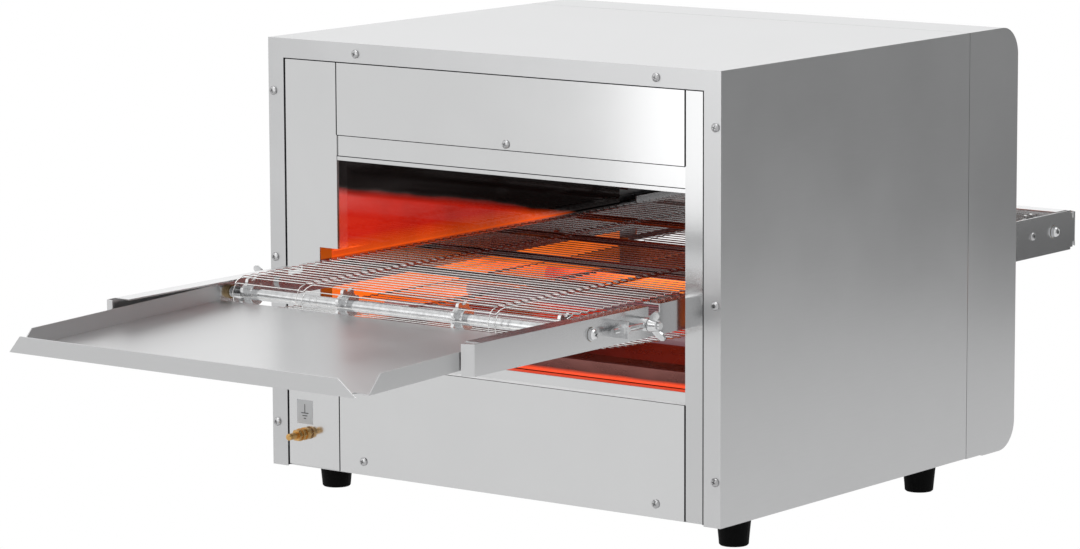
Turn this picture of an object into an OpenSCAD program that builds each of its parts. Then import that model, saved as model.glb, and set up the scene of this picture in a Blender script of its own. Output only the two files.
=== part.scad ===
// Countertop conveyor pizza oven: steel casing, through chamber with quartz
// heaters, wire belt on end sprockets, and a catch tray at the exit end.
// X runs across the oven, Y from the exit end to the entry end, Z is up.
// Sizes below are measured from the exit face (Y = 0) and the casing's
// underside (Z = 0); place() then moves all of it onto the part's own frame.

/* [Casing] */
// width over the side panels
body_w = 490; // [460:1:560]
// height of the casing without its feet
body_h = 384.5; // [365:0.5:460]
// depth of the wrapped cover, up to the seam
cover_d = 384; // [350:1:460]
// depth of the control housing behind the seam
housing_d = 81.4; // [76:0.2:110]
// open seam between cover and control housing
seam_gap = 0.6; // [0.3:0.1:1.5]
// radius of the control housing's rear corners
corner_r = 26; // [12:1:40]
// thickness of the casing sheet
sheet = 1; // [0.8:0.1:1.4]
// width of the cover's front flange
flange_w = 17.3; // [14:0.1:26]
// width of the fold under each side of the cover
hem_w = 8; // [6:0.5:12]
// running gap between neighbouring sheets
fold_gap = 0.2; // [0.1:0.05:0.4]

/* [End face] */
// width of the left end post, flange included
post_left_w = 76.5; // [72:0.5:90]
// width of the right end post, flange included
post_right_w = 37; // [32:0.5:50]
// depth of the posts' folded inner edges
post_fold = 14; // [8:1:20]
// height of the lower end panel's front
sill_h = 100.7; // [92:0.1:108]
// height of the lip that stands above it
sill_rise = 10.7; // [9:0.1:12]
// how far the lip is set back from the panel's face
sill_jog = 1.2; // [0.8:0.1:1.6]
// depth of the slope behind the lip
sill_run = 16; // [12:0.5:24]
// height of the upper end panel and the edge above it
panel_h = 82; // [72:0.5:88]
// how far the exit baffle hangs below the panel at rest
baffle_drop = 22.5; // [18:0.5:30]
// height of the exit baffle plate
baffle_h = 68; // [62:0.5:72]
// travel of the baffle upwards
baffle_up = 2; // [1:0.5:2]
// travel of the baffle downwards
baffle_down = 28; // [10:1:30]
// height of the base pan's turned-up front
pan_lip = 22; // [20:1:24]

/* [Screws] */
// shank diameter of the casing screws
screw_d = 4; // [3:0.5:5]
// head diameter of the casing screws
head_d = 7.6; // [6:0.2:9]
// head height of the casing screws
head_h = 2.4; // [1.8:0.1:3]
// shank length of the casing screws
screw_l = 6; // [5:0.5:9]
// clearance round a screw in its hole
screw_fit = 0.15; // [0.1:0.05:0.3]
// distance of the side flange screws from the casing's edge
side_screw_in = 5.5; // [4.7:0.1:8]
// distance of the top flange screws from the casing's top
top_screw_in = 9.4; // [6:0.1:12]

/* [Conveyor] */
// clearance between the rails and the chamber's side walls
rail_room = 3; // [2.6:0.1:6]
// thickness of the rail sheet
rail_t = 1.2; // [1:0.1:1.5]
// height of the side rails
rail_h = 26; // [24:0.5:27]
// width of the inner rails' top flange, which carries the belt's edge
rail_flange = 18; // [17.5:0.5:20]
// width of the extension rails' top flange, clear of the belt's edge
ext_flange = 16; // [10:0.5:16]
// height of the shafts above the casing's underside
shaft_z = 178; // [170:0.5:186]
// position of the idler shaft in front of the exit face
idler_out = 126; // [118:1:140]
// pitch of the belt's cross wires
belt_pitch = 10.65; // [10.2:0.05:11]
// least distance of the drive shaft from the entry frame's end
turn_room = 40; // [34:1:46]
// thickness of the belt wire
wire_d = 2; // [1.6:0.1:2.2]
// distance of the belt's edges from the outer rails' inner faces
belt_side = 15.8; // [15.2:0.1:17]
// distance of the outer link line from the belt's edge
link_in = 3; // [2.5:0.5:6]
// distance of the strands' joint lines from the belt's edges
link_mid = 75; // [60:1:90]
// sideways reach of the step at each joint
joint_run = 2.2; // [1.8:0.1:4]
// height of the belt above the rails' flanges
belt_gap = 0.3; // [0.2:0.05:0.5]
// teeth of each belt sprocket
belt_teeth = 8; // [8:1:8]
// diameter of the two belt shafts
shaft_d = 10; // [8:0.5:11]
// diameter of the shafts' journals
journal_d = 8; // [6:0.5:8]
// running clearance on the radius of each journal
run_fit = 0.05; // [0.02:0.01:0.09]
// wall of the shaft bushes
bush_wall = 2; // [1.5:0.1:2.5]
// diameter of the cross ties between the rails
tie_d = 6; // [5:0.5:7]

/* [Exit end] */
// length of the extension rails in front of the exit face
ext_out = 280; // [272:1:300]
// gap between the exit face and the extension rails' rear ends
ext_back = 47; // [42:1:50]
// start of the inner rails' full section in front of the exit face
main_out = 29; // [24:1:34]
// height of the inner rails' tongues
tongue_h = 18; // [16:0.5:19]
// length of the cut-away top corner at each rail's front
tab_l = 9; // [6:1:12]
// reach of the rails' folded front stops
stop_w = 10.2; // [9:0.1:10.4]
// position of the clamp studs in front of the exit face
stud_out = 60; // [56:0.5:62]
// diameter of the clamp studs
stud_d = 6; // [5:0.5:6.5]
// diameter of the tension screws
tension_d = 5; // [4:0.5:5]

/* [Tray] */
// running gap between the tray's sides and the rails' stops
tray_fit = 0.8; // [0.4:0.1:4]
// length of the tray floor
tray_l = 262; // [240:1:270]
// gap between the idler shaft and the tray's rear edge
tray_back = 24; // [20:1:34]
// height of the tray's rear edge above the casing's underside
tray_z = 174.3; // [170:0.1:174.5]
// slope of the tray down towards the front
tray_tilt = 1.8; // [0:0.1:2.2]
// lean of the tray's front lip
lip_lean = 12; // [0:1:25]
// height of the tray's lips
lip_h = 15; // [10:0.5:17]
// thickness of the tray sheet
tray_t = 1; // [0.8:0.1:1.2]
// diameter of the rods that carry the tray
rest_d = 5; // [4:0.5:6]

/* [Chamber] */
// thickness of the chamber liner
liner_t = 0.8; // [0.6:0.1:1]
// reach of the chamber behind the left end post
liner_in = 20.5; // [16:0.5:24]
// distance of the chamber's ceiling from the casing's top
ceiling_gap = 48.5; // [40:0.5:56]
// thickness of the fibre blanket over the chamber
blanket = 24; // [12:1:32]
// height of the low passage under the controls
passage_z = 250; // [244:1:256]
// length of the tall part of the chamber behind the cover's seam
chamber_over = 9; // [4:1:12]
// end of the chamber liner in front of the oven's entry face
liner_back = 18; // [12:1:24]
// diameter of the quartz tubes
tube_d = 11; // [9:0.5:12]
// height of the lower quartz tubes
tube_low = 137; // [134:0.5:140]
// distance of the upper quartz tubes below the ceiling
tube_hang = 33; // [30:0.5:38]
// distance of the first tube from the exit face
tube_first = 95; // [85:1:100]
// distance of the last tube from the end of the tall chamber
tube_last = 58; // [50:1:80]
// number of tubes above and below the belt
tube_count = 3; // [2:1:4]
// depth of the reflectors' troughs
trough_h = 13; // [8:1:16]
// reach of the tubes outside the chamber liner
tube_reach = 8; // [5:0.5:10]

/* [Entry end] */
// length of the entry frame beyond the oven
frame_out = 178; // [160:0.5:200]
// height of the entry frame above the shaft
frame_up = 17; // [16:0.5:19]
// depth of the entry frame below the shaft
frame_down = 20.2; // [19:0.2:23]
// bend radius of the entry frame's corners
frame_r = 9; // [5:0.5:12]
// height of the belt opening in the control housing
entry_h = 92; // [84:1:96]
// travel of the entry baffle
entry_travel = 14; // [8:1:16]

/* [Drive] */
// pitch of the drive chain
chain_pitch = 6.35; // [6:0.05:6.6]
// teeth of the sprocket on the drive shaft
driven_teeth = 18; // [16:1:19]
// teeth of the motor's sprocket
motor_teeth = 12; // [10:1:14]
// distance of the chain from the outer rails
chain_out = 12; // [11.4:0.2:14]
// width of the sprockets' teeth
tooth_w = 2.4; // [2:0.1:2.8]
// distance of the motor shaft from the oven's entry face
motor_in = 42; // [40:1:46]
// diameter of the motor's output shaft
motor_shaft_d = 8; // [6:0.5:9]

/* [Controls] */
// diameter of the control knobs
knob_d = 38; // [30:1:42]
// height of the control knobs
knob_h = 19; // [14:0.5:24]
// diameter of the regulators' spindles
spindle_d = 6; // [5:0.5:7]
// distance of the control fascia from the casing's sides
fascia_in = 50; // [40:1:64]
// position of the first knob
knob_first = -5; // [-10:1:0]
// distance between neighbouring knobs
knob_step = 77; // [60:1:80]
// gap between the knobs and the casing sheet
knob_gap = 1.8; // [1.7:0.1:3]
// width of the power switch opening
switch_w = 22; // [18:1:26]
// height of the power switch opening
switch_h = 30; // [24:1:32]
// diameter of the pilot lights
pilot_d = 13; // [10:0.5:16]

/* [Feet] */
// height of the feet below the casing
foot_h = 26; // [18:1:40]
// diameter of the feet at the top
foot_d = 30; // [26:1:34]
// diameter of the feet where they stand
foot_base_d = 25.5; // [20:0.5:28]
// distance of the feet from the casing's sides
foot_in = 26; // [24:1:34]
// distance of the front feet from the exit face
foot_front = 57; // [40:1:80]
// distance of the rear feet from the cover's rear edge
foot_rear = 37; // [30:1:60]

/* [Hidden] */
depth = cover_d + seam_gap + housing_d;
panel_low = body_h - panel_h;
post_l = -body_w / 2 + post_left_w;
post_r = body_w / 2 - post_right_w;
panel_l = post_l + 2 * fold_gap;
panel_r = post_r - 2 * fold_gap;
panel_mid = (panel_l + panel_r) / 2;
face_y = sheet + fold_gap;
behind_y = face_y + sheet;
baffle_y = behind_y + 0.3;
baffle_low = panel_low - baffle_drop;
clamp_z = panel_low + 5;
inner_w = body_w / 2 - sheet;
base_z = sheet;
floor_z = sill_h + sill_rise - 5;
liner_l = post_l - liner_in;
liner_r = post_r;
ceiling_z = body_h - ceiling_gap;
tube_high = ceiling_z - tube_hang;
liner_front = face_y + sill_run + fold_gap;
chamber_end = cover_d + chamber_over;
liner_rear = depth - liner_back;
tube_step = (chamber_end - tube_last - tube_first) / (tube_count - 1);
tube_ys = [for (i = [0 : tube_count - 1]) tube_first + i * tube_step];
conv_x = (liner_l + liner_r) / 2;
half = (liner_r - liner_l) / 2 - rail_room;
half_in = half - rail_t;
web_in = half_in - rail_t;
pitch_r = belt_pitch / (2 * sin(180 / belt_teeth));
top_z = shaft_z + pitch_r;
bottom_z = shaft_z - pitch_r;
flange_z = top_z - wire_d / 2 - belt_gap;
rail_z = flange_z - rail_h;
idler_y = -idler_out;
frame_y = depth + frame_out;
belt_links = floor((frame_y - turn_room - idler_y) / belt_pitch);
drive_y = idler_y + belt_links * belt_pitch;
belt_w = 2 * (half_in - belt_side);
joint_x = belt_w / 2 - link_mid;
link_x = belt_w / 2 - link_in;
sprocket_xs = [-belt_w / 2 + 10.5, -joint_x + 41.5, joint_x - 41.5, belt_w / 2 - 10.5];
bush_d = journal_d + 2 * (run_fit + bush_wall);
tray_w = 2 * (half - stop_w - tray_fit);
tray_y = idler_y - tray_back;
rest_ys = [-ext_out + 18, tray_y - 14];
chain_x = -half - chain_out;
driven_r = chain_pitch / (2 * sin(180 / driven_teeth));
motor_r = chain_pitch / (2 * sin(180 / motor_teeth));
motor_y = depth - motor_in;
opening_z = rail_z - 15;
opening_r = conv_x + half + 3;
opening_l = conv_x - half - 4;
slot_l = conv_x + chain_x - 7;
fascia_x = body_w / 2 - fascia_in;
fascia_z = opening_z + entry_h + 24;
fascia_top = body_h - corner_r - 4;
knob_z = (fascia_z + fascia_top) / 2;
knob_xs = [for (i = [0 : 2]) knob_first + i * knob_step];
switch_x = knob_first - knob_d / 2 - switch_w / 2 - 36;
pilot_xs = [switch_x - switch_w / 2 - 30, switch_x - switch_w / 2 - 54];
lip_tip = [-tray_l - lip_h * sin(lip_lean), lip_h * cos(lip_lean) - tray_t];
tray_front = tray_y + lip_tip[0] * cos(tray_tilt) - lip_tip[1] * sin(tray_tilt);
y_mid = (frame_y + tray_front) / 2;
foot_x = body_w / 2 - foot_in;
foot_ys = [foot_front, cover_d - foot_rear];

steel = [0.74, 0.75, 0.76];
bright = [0.86, 0.87, 0.88];
zinc = [0.62, 0.64, 0.66];
black = [0.08, 0.08, 0.09];
brass = [0.72, 0.55, 0.24];

// ---------------------------------------------------------------- helpers

// moves a piece from the working datum to the part's frame
module place() translate([0, -y_mid, foot_h]) children();

// the same for pieces that are centred on the belt
module on_belt() place() translate([conv_x, 0, 0]) children();

module slab(x, y, z) translate([x[0], y[0], z[0]]) cube([x[1] - x[0], y[1] - y[0], z[1] - z[0]]);

// extrudes an X-Z outline along Y
module along_y(y) translate([0, y[1], 0]) rotate([90, 0, 0]) linear_extrude(y[1] - y[0]) children();

// extrudes a Y-Z outline along X
module along_x(x) translate([x[0], 0, 0]) rotate([90, 0, 90]) linear_extrude(x[1] - x[0]) children();

module rod_x(x, y, z, d) translate([x[0], y, z]) rotate([0, 90, 0])
    cylinder(d = d, h = x[1] - x[0], $fn = 40);

module rod_y(x, y, z, d) translate([x, y[0], z]) rotate([-90, 0, 0])
    cylinder(d = d, h = y[1] - y[0], $fn = 40);

module box2(x, y) translate([x[0], y[0]]) square([x[1] - x[0], y[1] - y[0]]);

module bar2(centre, size) translate(centre) square(size, center = true);

module both() for (s = [0, 1]) mirror([s, 0, 0]) children();

function arc(c, r, a0, a1, n) =
    [for (i = [0 : n]) let (a = a0 + (a1 - a0) * i / n) c + r * [cos(a), sin(a)]];

function flip(list) = [for (i = [len(list) - 1 : -1 : 0]) list[i]];

// a folded strip of sheet, given by the outline of its upper side
module ribbon(points, t) polygon(concat(points, flip([for (p = points) p - [0, t]])));

// rows of round-ended slots in the X-Y plane
module slots(xs, ys, l, w) for (x = xs, y = ys) translate([x, y]) {
    square([w, l - w], center = true);
    for (s = [-1, 1]) translate([0, s * (l - w) / 2]) circle(d = w, $fn = 24);
}

// pan head screw along +Y, head at the front, underside of the head at Y = 0
module pan_screw(l) {
    difference() {
        rotate([90, 0, 0]) rotate_extrude($fn = 40)
            polygon([[0, 0], [head_d / 2, 0], [head_d / 2, head_h * 0.4],
                     [head_d * 0.42, head_h * 0.78], [head_d * 0.24, head_h], [0, head_h]]);
        for (a = [0, 90]) rotate([0, a + 20, 0])
            translate([-head_d * 0.24, -head_h - 1, -0.4]) cube([head_d * 0.48, head_h * 0.6 + 1, 0.8]);
    }
    rod_y(0, [-0.1, l], 0, screw_d);
}

module screw_hole(x, z, y) rod_y(x, y, z, screw_d + 2 * screw_fit);

// toothed wheel outline, tooth gaps on the X axis
module wheel2(teeth, r, seat, tip, root_half, tip_half) {
    circle(r = r - seat, $fn = 72);
    for (i = [0 : teeth - 1]) rotate((i + 0.5) * 360 / teeth)
        polygon([[r - seat - 1, -root_half], [r - seat * 0.4, -root_half], [r + tip, -tip_half],
                 [r + tip, tip_half], [r - seat * 0.4, root_half], [r - seat - 1, root_half]]);
}

// ----------------------------------------------------------------- casing

side_screw_zs = [39, body_h / 2 - 4, body_h - 47.3];
top_screw_xs = [-body_w / 2 + 100, body_w / 2 - 66];
low_screw_xs = [panel_l + 27, panel_r - 30];
low_screw_z = 13.2;
top_screw_z = body_h - top_screw_in;
side_screw_x = body_w / 2 - side_screw_in;

module outer_cover() place() color(steel) difference() {
    union() {
        along_y([0, cover_d]) difference() {
            box2([-body_w / 2, body_w / 2], [0, body_h]);
            box2([-inner_w, inner_w], [-1, body_h - sheet]);
        }
        along_y([0, sheet]) difference() {
            box2([-body_w / 2, body_w / 2], [0, body_h]);
            box2([-body_w / 2 + flange_w, body_w / 2 - flange_w], [-1, body_h - flange_w]);
        }
        both() slab([inner_w - hem_w, inner_w + sheet / 2], [sheet / 2, cover_d], [0, sheet]);
    }
    both() for (z = side_screw_zs) screw_hole(side_screw_x, z, [-1, sheet + 1]);
    for (x = top_screw_xs) screw_hole(x, top_screw_z, [-1, sheet + 1]);
    // mitre joints of the front flange
    both() translate([body_w / 2, -1, body_h]) rotate([0, 45, 0])
        translate([-flange_w * sqrt(2) - 1, 0, -0.15]) cube([flange_w * sqrt(2) - 1, 1 + sheet * 0.6, 0.3]);
}

pan_z = [base_z, base_z + sheet];
pan_x = inner_w - 0.3;
pan_y = [behind_y + 0.1, depth - corner_r - 2];
vent_xs = [for (i = [0 : 11]) -body_w / 2 + 45 + i * 16];

module base_pan() place() color(steel) difference() {
    union() {
        slab([-pan_x, pan_x], pan_y, pan_z);
        slab([-pan_x, pan_x], [pan_y[0], pan_y[0] + sheet], [pan_z[0], pan_lip]);
        both() slab([pan_x - sheet, pan_x], [pan_y[0], cover_d - 4], [pan_z[0], 16]);
    }
    translate([0, 0, -1]) linear_extrude(base_z + sheet + 2)
        slots(vent_xs, [cover_d * 0.3, cover_d * 0.62], 60, 5);
    for (x = low_screw_xs) screw_hole(x, low_screw_z, [pan_y[0] - 1, pan_y[0] + 3]);
    translate([gland_x, gland_y, -1]) cylinder(d = gland_d + 0.2, h = 6, $fn = 48);
    for (x = [-foot_x, foot_x], y = foot_ys) translate([x, y, -1]) cylinder(d = 6.3, h = 6, $fn = 32);
}

module feet() place() color(black) for (x = [-foot_x, foot_x], y = foot_ys) translate([x, y, 0])
    difference() {
        union() {
            translate([0, 0, -foot_h]) rotate_extrude($fn = 64)
                polygon([[0, 0], [foot_base_d / 2 - 1, 0], [foot_base_d / 2, 1],
                         [foot_d / 2, foot_h + base_z - 3], [foot_d / 2, foot_h + base_z - 0.8],
                         [foot_d / 2 - 0.8, foot_h + base_z], [0, foot_h + base_z]]);
            translate([0, 0, base_z - 0.5]) cylinder(d = 6, h = sheet + 3.5, $fn = 32);
        }
        translate([0, 0, -foot_h - 1]) cylinder(d = 9, h = foot_h * 0.45, $fn = 32);
    }

// end posts: a front plate with its inner edge folded into the chamber
module end_post(x, edge, fold) difference() {
    union() {
        slab(x, [face_y, behind_y], [2 * sheet + 0.4, body_h - sheet - 0.3]);
        slab(fold, [face_y, face_y + post_fold], [pan_lip + 0.3, body_h - sheet - 0.3]);
    }
    for (z = side_screw_zs) screw_hole(edge, z, [-1, behind_y + 1]);
}

terminal_x = -body_w / 2 + 36;
terminal_z = pan_lip + 9;
terminal_d = 6;

module terminal_hole() rod_y(terminal_x, [0, 8], terminal_z, terminal_d + 0.3);

module left_end_post() place() color(bright) difference() {
    end_post([-inner_w + 0.3, post_l], -side_screw_x, [post_l - sheet, post_l]);
    // notch for the belt, its left rail and their running room
    slab([conv_x - half - rail_room, post_l + 1], [0, face_y + post_fold + 1], [rail_z - 8, top_z + 9]);
    terminal_hole();
}

module right_end_post() place() color(bright)
    end_post([post_r, inner_w - 0.3], side_screw_x, [post_r, post_r + sheet]);

module upper_end_panel() place() color(bright) difference() {
    slab([panel_l, panel_r], [face_y, behind_y], [panel_low, body_h - sheet - 0.3]);
    for (x = top_screw_xs) screw_hole(x, top_screw_z, [-1, behind_y + 1]);
    screw_hole(panel_mid, clamp_z, [-1, behind_y + 1]);
}

module lower_end_panel() place() color(bright) difference() {
    lip_y = face_y + sill_jog;
    lip_z = sill_h + sill_rise;
    along_x([panel_l, panel_r]) polygon([
        [face_y, 1.6], [behind_y, 1.6], [behind_y, sill_h - sheet * 0.6],
        [lip_y + sheet, sill_h + 1.8], [lip_y + sheet, lip_z - sheet * 1.4],
        [face_y + sill_run, floor_z + 0.3 - sheet], [face_y + sill_run, floor_z + 0.3],
        [lip_y + sheet, lip_z], [lip_y + 0.3, lip_z], [lip_y, lip_z - 0.3],
        [lip_y, sill_h + 2.2], [face_y, sill_h]]);
    for (x = low_screw_xs) screw_hole(x, low_screw_z, [-1, behind_y + 1]);
}

// height-adjustable strip over the exit mouth, slotted round its clamp screw
module exit_baffle() place() color(bright) difference() {
    union() {
        slab([post_l + 0.3, post_r - 0.3], [baffle_y, baffle_y + sheet],
             [baffle_low, baffle_low + baffle_h]);
        slab([post_l + 0.3, post_r - 0.3], [baffle_y - sheet * 0.9, baffle_y + sheet / 2],
             [baffle_low, baffle_low + 3.4]);
    }
    translate([panel_mid, baffle_y + sheet / 2, clamp_z + (baffle_down - baffle_up) / 2]) rotate([90, 0, 0])
        translate([0, 0, -sheet]) linear_extrude(2 * sheet)
            slots([0], [0], baffle_up + baffle_down + screw_d + 1.2, screw_d + 0.8);
}

module casing_screws() place() color(zinc) {
    both() for (z = side_screw_zs) translate([side_screw_x, 0, z]) pan_screw(screw_l);
    for (x = top_screw_xs) translate([x, 0, top_screw_z]) pan_screw(screw_l);
    for (x = low_screw_xs) translate([x, face_y, low_screw_z]) pan_screw(screw_l);
    translate([panel_mid, face_y, clamp_z]) pan_screw(screw_l);
}

// bonding stud with its washers and nuts
module earth_terminal() place() color(brass) translate([terminal_x, 0, terminal_z]) {
    rod_y(0, [-21, 10], 0, terminal_d);
    translate([0, -21, 0]) rotate([90, 0, 0])
        cylinder(d1 = terminal_d, d2 = terminal_d - 1.6, h = 1, $fn = 40);
    for (y = [-0.6, -6.2]) {
        rod_y(0, [y, y + 1.2 + (y > -1 ? face_y - 0.6 : 0)], 0, terminal_d * 1.9);
        translate([0, y + 0.1, 0]) rotate([90, 0, 0]) cylinder(d = terminal_d * 1.8, h = 4.5, $fn = 6);
    }
    translate([0, behind_y + 4.2, 0]) rotate([90, 0, 0]) cylinder(d = terminal_d * 1.8, h = 4.2, $fn = 6);
}

// ---------------------------------------------------------------- chamber

module tube_holes(z) for (y = tube_ys)
    rod_x([liner_l - 5, liner_r + 5], y, z, tube_d + 1);

module tunnel(y, top) along_y(y) difference() {
    box2([liner_l, liner_r], [floor_z - liner_t, top + liner_t]);
    box2([liner_l + liner_t, liner_r - liner_t], [floor_z, top]);
}

// tall chamber with an end wall over the low passage to the entry mouth
module chamber_liner() place() color(bright) difference() {
    union() {
        tunnel([liner_front, chamber_end], ceiling_z);
        tunnel([chamber_end - liner_t, liner_rear], passage_z);
        slab([liner_l, liner_r], [chamber_end - liner_t, chamber_end], [passage_z, ceiling_z + liner_t]);
    }
    tube_holes(tube_low);
    tube_holes(tube_high);
}

module liner_insulation() place() color([0.86, 0.84, 0.78]) {
    slab([liner_l, liner_r], [liner_front + 8, chamber_end - 4],
         [ceiling_z + liner_t, ceiling_z + liner_t + blanket]);
}

module quartz_tubes(z) place() color([1, 0.45, 0.15, 0.8]) for (y = tube_ys)
    rod_x([liner_l - tube_reach, liner_r + tube_reach], y, z, tube_d);

module upper_heaters() quartz_tubes(tube_high);

module lower_heaters() quartz_tubes(tube_low);

// ceramic caps on the tube ends, bearing on the outside of the liner
module heater_end_caps() place() color([0.93, 0.91, 0.86]) for (y = tube_ys, z = [tube_low, tube_high])
    for (s = [0, 1]) let (x = s == 0 ? liner_l : liner_r) translate([x, y, z]) mirror([1 - s, 0, 0])
        rotate([0, 90, 0]) difference() {
            cylinder(d = tube_d + 9, h = tube_reach + 8, $fn = 48);
            translate([0, 0, -1]) cylinder(d = tube_d + 0.3, h = tube_reach + 1.2, $fn = 48);
            translate([0, 0, tube_reach + 2]) cylinder(d = 5, h = 8, $fn = 24);
        }

function trough(y, z, w, h) = [[y - w / 2, z + h], [y - w / 4, z + h * 0.15], [y - w / 10, z],
                               [y + w / 10, z], [y + w / 4, z + h * 0.15], [y + w / 2, z + h]];

reflector_x = [liner_l + liner_t + 0.3, liner_r - liner_t - 0.3];
trough_w = 2 * min(tube_step / 2, tube_first - liner_front, tube_last) - 6;

// folded mirror sheets, one trough for each tube
module lower_reflector() place() color(bright) along_x(reflector_x)
    ribbon([for (y = tube_ys) each trough(y, floor_z + 1, trough_w, trough_h)], 0.7);

module upper_reflector() place() color(bright) along_x(reflector_x) mirror([0, 1])
    ribbon([for (y = tube_ys) each trough(y, -ceiling_z + 1, trough_w, trough_h)], 0.7);

// --------------------------------------------------------------- conveyor

module web_hole(y, z, d) rod_x([web_in - 6, half + 3], y, z, d);

// inner rail, right hand: full channel with a low tongue at the exit end
module inner_rail() difference() {
    union() {
        slab([web_in, half_in], [-main_out, drive_y + 22], [rail_z, flange_z]);
        slab([web_in, half_in], [idler_y + 14, -main_out + 1], [rail_z, rail_z + tongue_h]);
        slab([half - rail_flange, half_in], [-main_out, drive_y - 2], [flange_z - rail_t, flange_z]);
    }
    web_hole(-stud_out, shaft_z, stud_d + 0.4);
    web_hole(drive_y, shaft_z, bush_d + 0.1);
    for (y = spacer_ys) web_hole(y, spacer_z, screw_d + 0.3);
    web_hole(frame_screw_y, shaft_z, screw_d + 0.3);
}

spacer_ys = [60, cover_d - 40];
spacer_z = rail_z + 9;
frame_screw_y = depth + 94;

module conveyor_rail_right() on_belt() color(bright) inner_rail();

module conveyor_rail_left() on_belt() color(bright) mirror([1, 0, 0]) inner_rail();

// bosses and screws that hold the rails off the chamber's walls
module rail_spacers() place() color(zinc) for (y = spacer_ys, side = [0, 1])
    let (gap = side == 0 ? liner_r - liner_t - conv_x : conv_x - liner_l - liner_t)
        translate([conv_x, y, spacer_z]) mirror([side, 0, 0]) {
            rod_x([half_in, gap], 0, 0, 10);
            rod_x([web_in - 3, half_in + 0.1], 0, 0, screw_d);
            rod_x([web_in - 3, web_in], 0, 0, head_d);
        }

// screws that join the inner rails to the entry frame
module frame_screws() on_belt() color(zinc) both() translate([half, frame_screw_y, shaft_z]) {
    rotate([0, 0, 90]) pan_screw(2 * rail_t + 3);
    rod_x([-2 * rail_t - 2.6, -2 * rail_t], 0, 0, head_d);
}

tie_ys = [for (i = [0 : 3]) 24 + i * (cover_d - 30) / 3, depth + 40];

module rail_ties() on_belt() color(zinc) for (y = tie_ys)
    rod_x([-web_in, web_in], y, flange_z - rail_t - tie_d / 2, tie_d);

// one straight run of the wire belt: every strand steps over to its
// neighbour's line at both joints, and edge links tie the strands together
module belt_run(z) on_belt() color(bright) translate([0, 0, z - wire_d / 2]) linear_extrude(wire_d) {
    edge = belt_w / 2;
    r = wire_d / 2;
    p = belt_pitch;
    a = [joint_x + joint_run, joint_x - joint_run];
    slope = p / (2 * joint_run);
    t = r * tan(atan(slope) / 2);
    foot = t + r / slope;
    for (i = [2 : belt_links - 3]) translate([0, idler_y + i * p]) polygon([
        [-edge, -r], [t - a[0], -r], [t - a[1], p - r], [a[1] - t, p - r], [a[0] - t, -r], [edge, -r],
        [edge, r], [a[0] + t, r], [a[1] + t, p + r], [-a[1] - t, p + r], [-a[0] - t, r], [-edge, r]]);
    // straight strands that meet the turns, and the steps that end on them
    for (i = [1, belt_links - 1]) bar2([0, idler_y + i * p], [belt_w, wire_d]);
    translate([0, idler_y + p]) polygon([
        [-a[0] - foot, 0], [foot - a[0], 0], [t - a[1], p - r], [a[1] - t, p - r],
        [a[0] - foot, 0], [a[0] + foot, 0], [a[1] + t, p + r], [-a[1] - t, p + r]]);
    last = [[edge, r], [a[0] + t, r], [a[1] + foot, p], [a[1] - foot, p], [a[0] - t, -r], [edge, -r]];
    translate([0, drive_y - 2 * p]) {
        polygon(last);
        polygon(flip([for (q = last) [-q[0], q[1]]]));
    }
    for (s = [-1, 1]) bar2([s * link_x, (idler_y + drive_y) / 2], [wire_d, (belt_links - 2) * p]);
}

module belt_top_run() belt_run(top_z);

module belt_bottom_run() belt_run(bottom_z);

// the strands that lie round one end sprocket, which bend as the belt runs
module belt_turn() rotate([90, 0, 90]) {
    step = 360 / belt_teeth;
    for (a = [90 : -step : -90]) rotate(a) translate([pitch_r, 0, 0])
        cube([wire_d, wire_d, belt_w], center = true);
    for (x = [-link_x, -joint_x, joint_x, link_x]) translate([0, 0, x - wire_d / 2])
        linear_extrude(wire_d) {
        for (a = [90 : -step : -89]) rotate(a - step / 2)
            translate([pitch_r * cos(step / 2), 0]) square([wire_d, belt_pitch], center = true);
        for (s = [-1, 1]) translate([0, s * pitch_r])
            box2([-belt_pitch + wire_d / 2, 0], [-wire_d / 2, wire_d / 2]);
    }
}

module belt_turns() on_belt() color(bright) {
    translate([0, drive_y, shaft_z]) belt_turn();
    translate([0, idler_y, shaft_z]) mirror([0, 1, 0]) belt_turn();
}

// exit end rail, right hand: web, top flange and folded front stop
module outer_rail() difference() {
    union() {
        slab([half_in, half], [-ext_out, -ext_back], [rail_z, flange_z]);
        slab([half - ext_flange, half_in + 0.1], [-ext_out + tab_l, -ext_back],
             [flange_z - rail_t, flange_z]);
        translate([0, 0, rail_z]) linear_extrude(rail_h) polygon([
            [half, -ext_out + 0.01], [half_in, -ext_out + 0.01], [half - stop_w, -ext_out - 4.6 + rail_t],
            [half - stop_w, -ext_out - 4.6], [half - 1, -ext_out - 1]]);
    }
    web_hole(idler_y, shaft_z, bush_d + 0.1);
    web_hole(-stud_out, shaft_z, stud_d + 0.4);
}

module extension_rail_right() on_belt() color(bright) outer_rail();

module extension_rail_left() on_belt() color(bright) mirror([1, 0, 0]) outer_rail();

// height of the tray floor's underside at a given depth
function tray_under(y) = tray_z + (y - tray_y) * tan(tray_tilt) - tray_t / cos(tray_tilt);

module tray_rest_rods() on_belt() color(zinc) for (y = rest_ys)
    rod_x([-half_in, half_in], y, tray_under(y) - (rest_d / 2 + 0.3) / cos(tray_tilt), rest_d);

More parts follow.
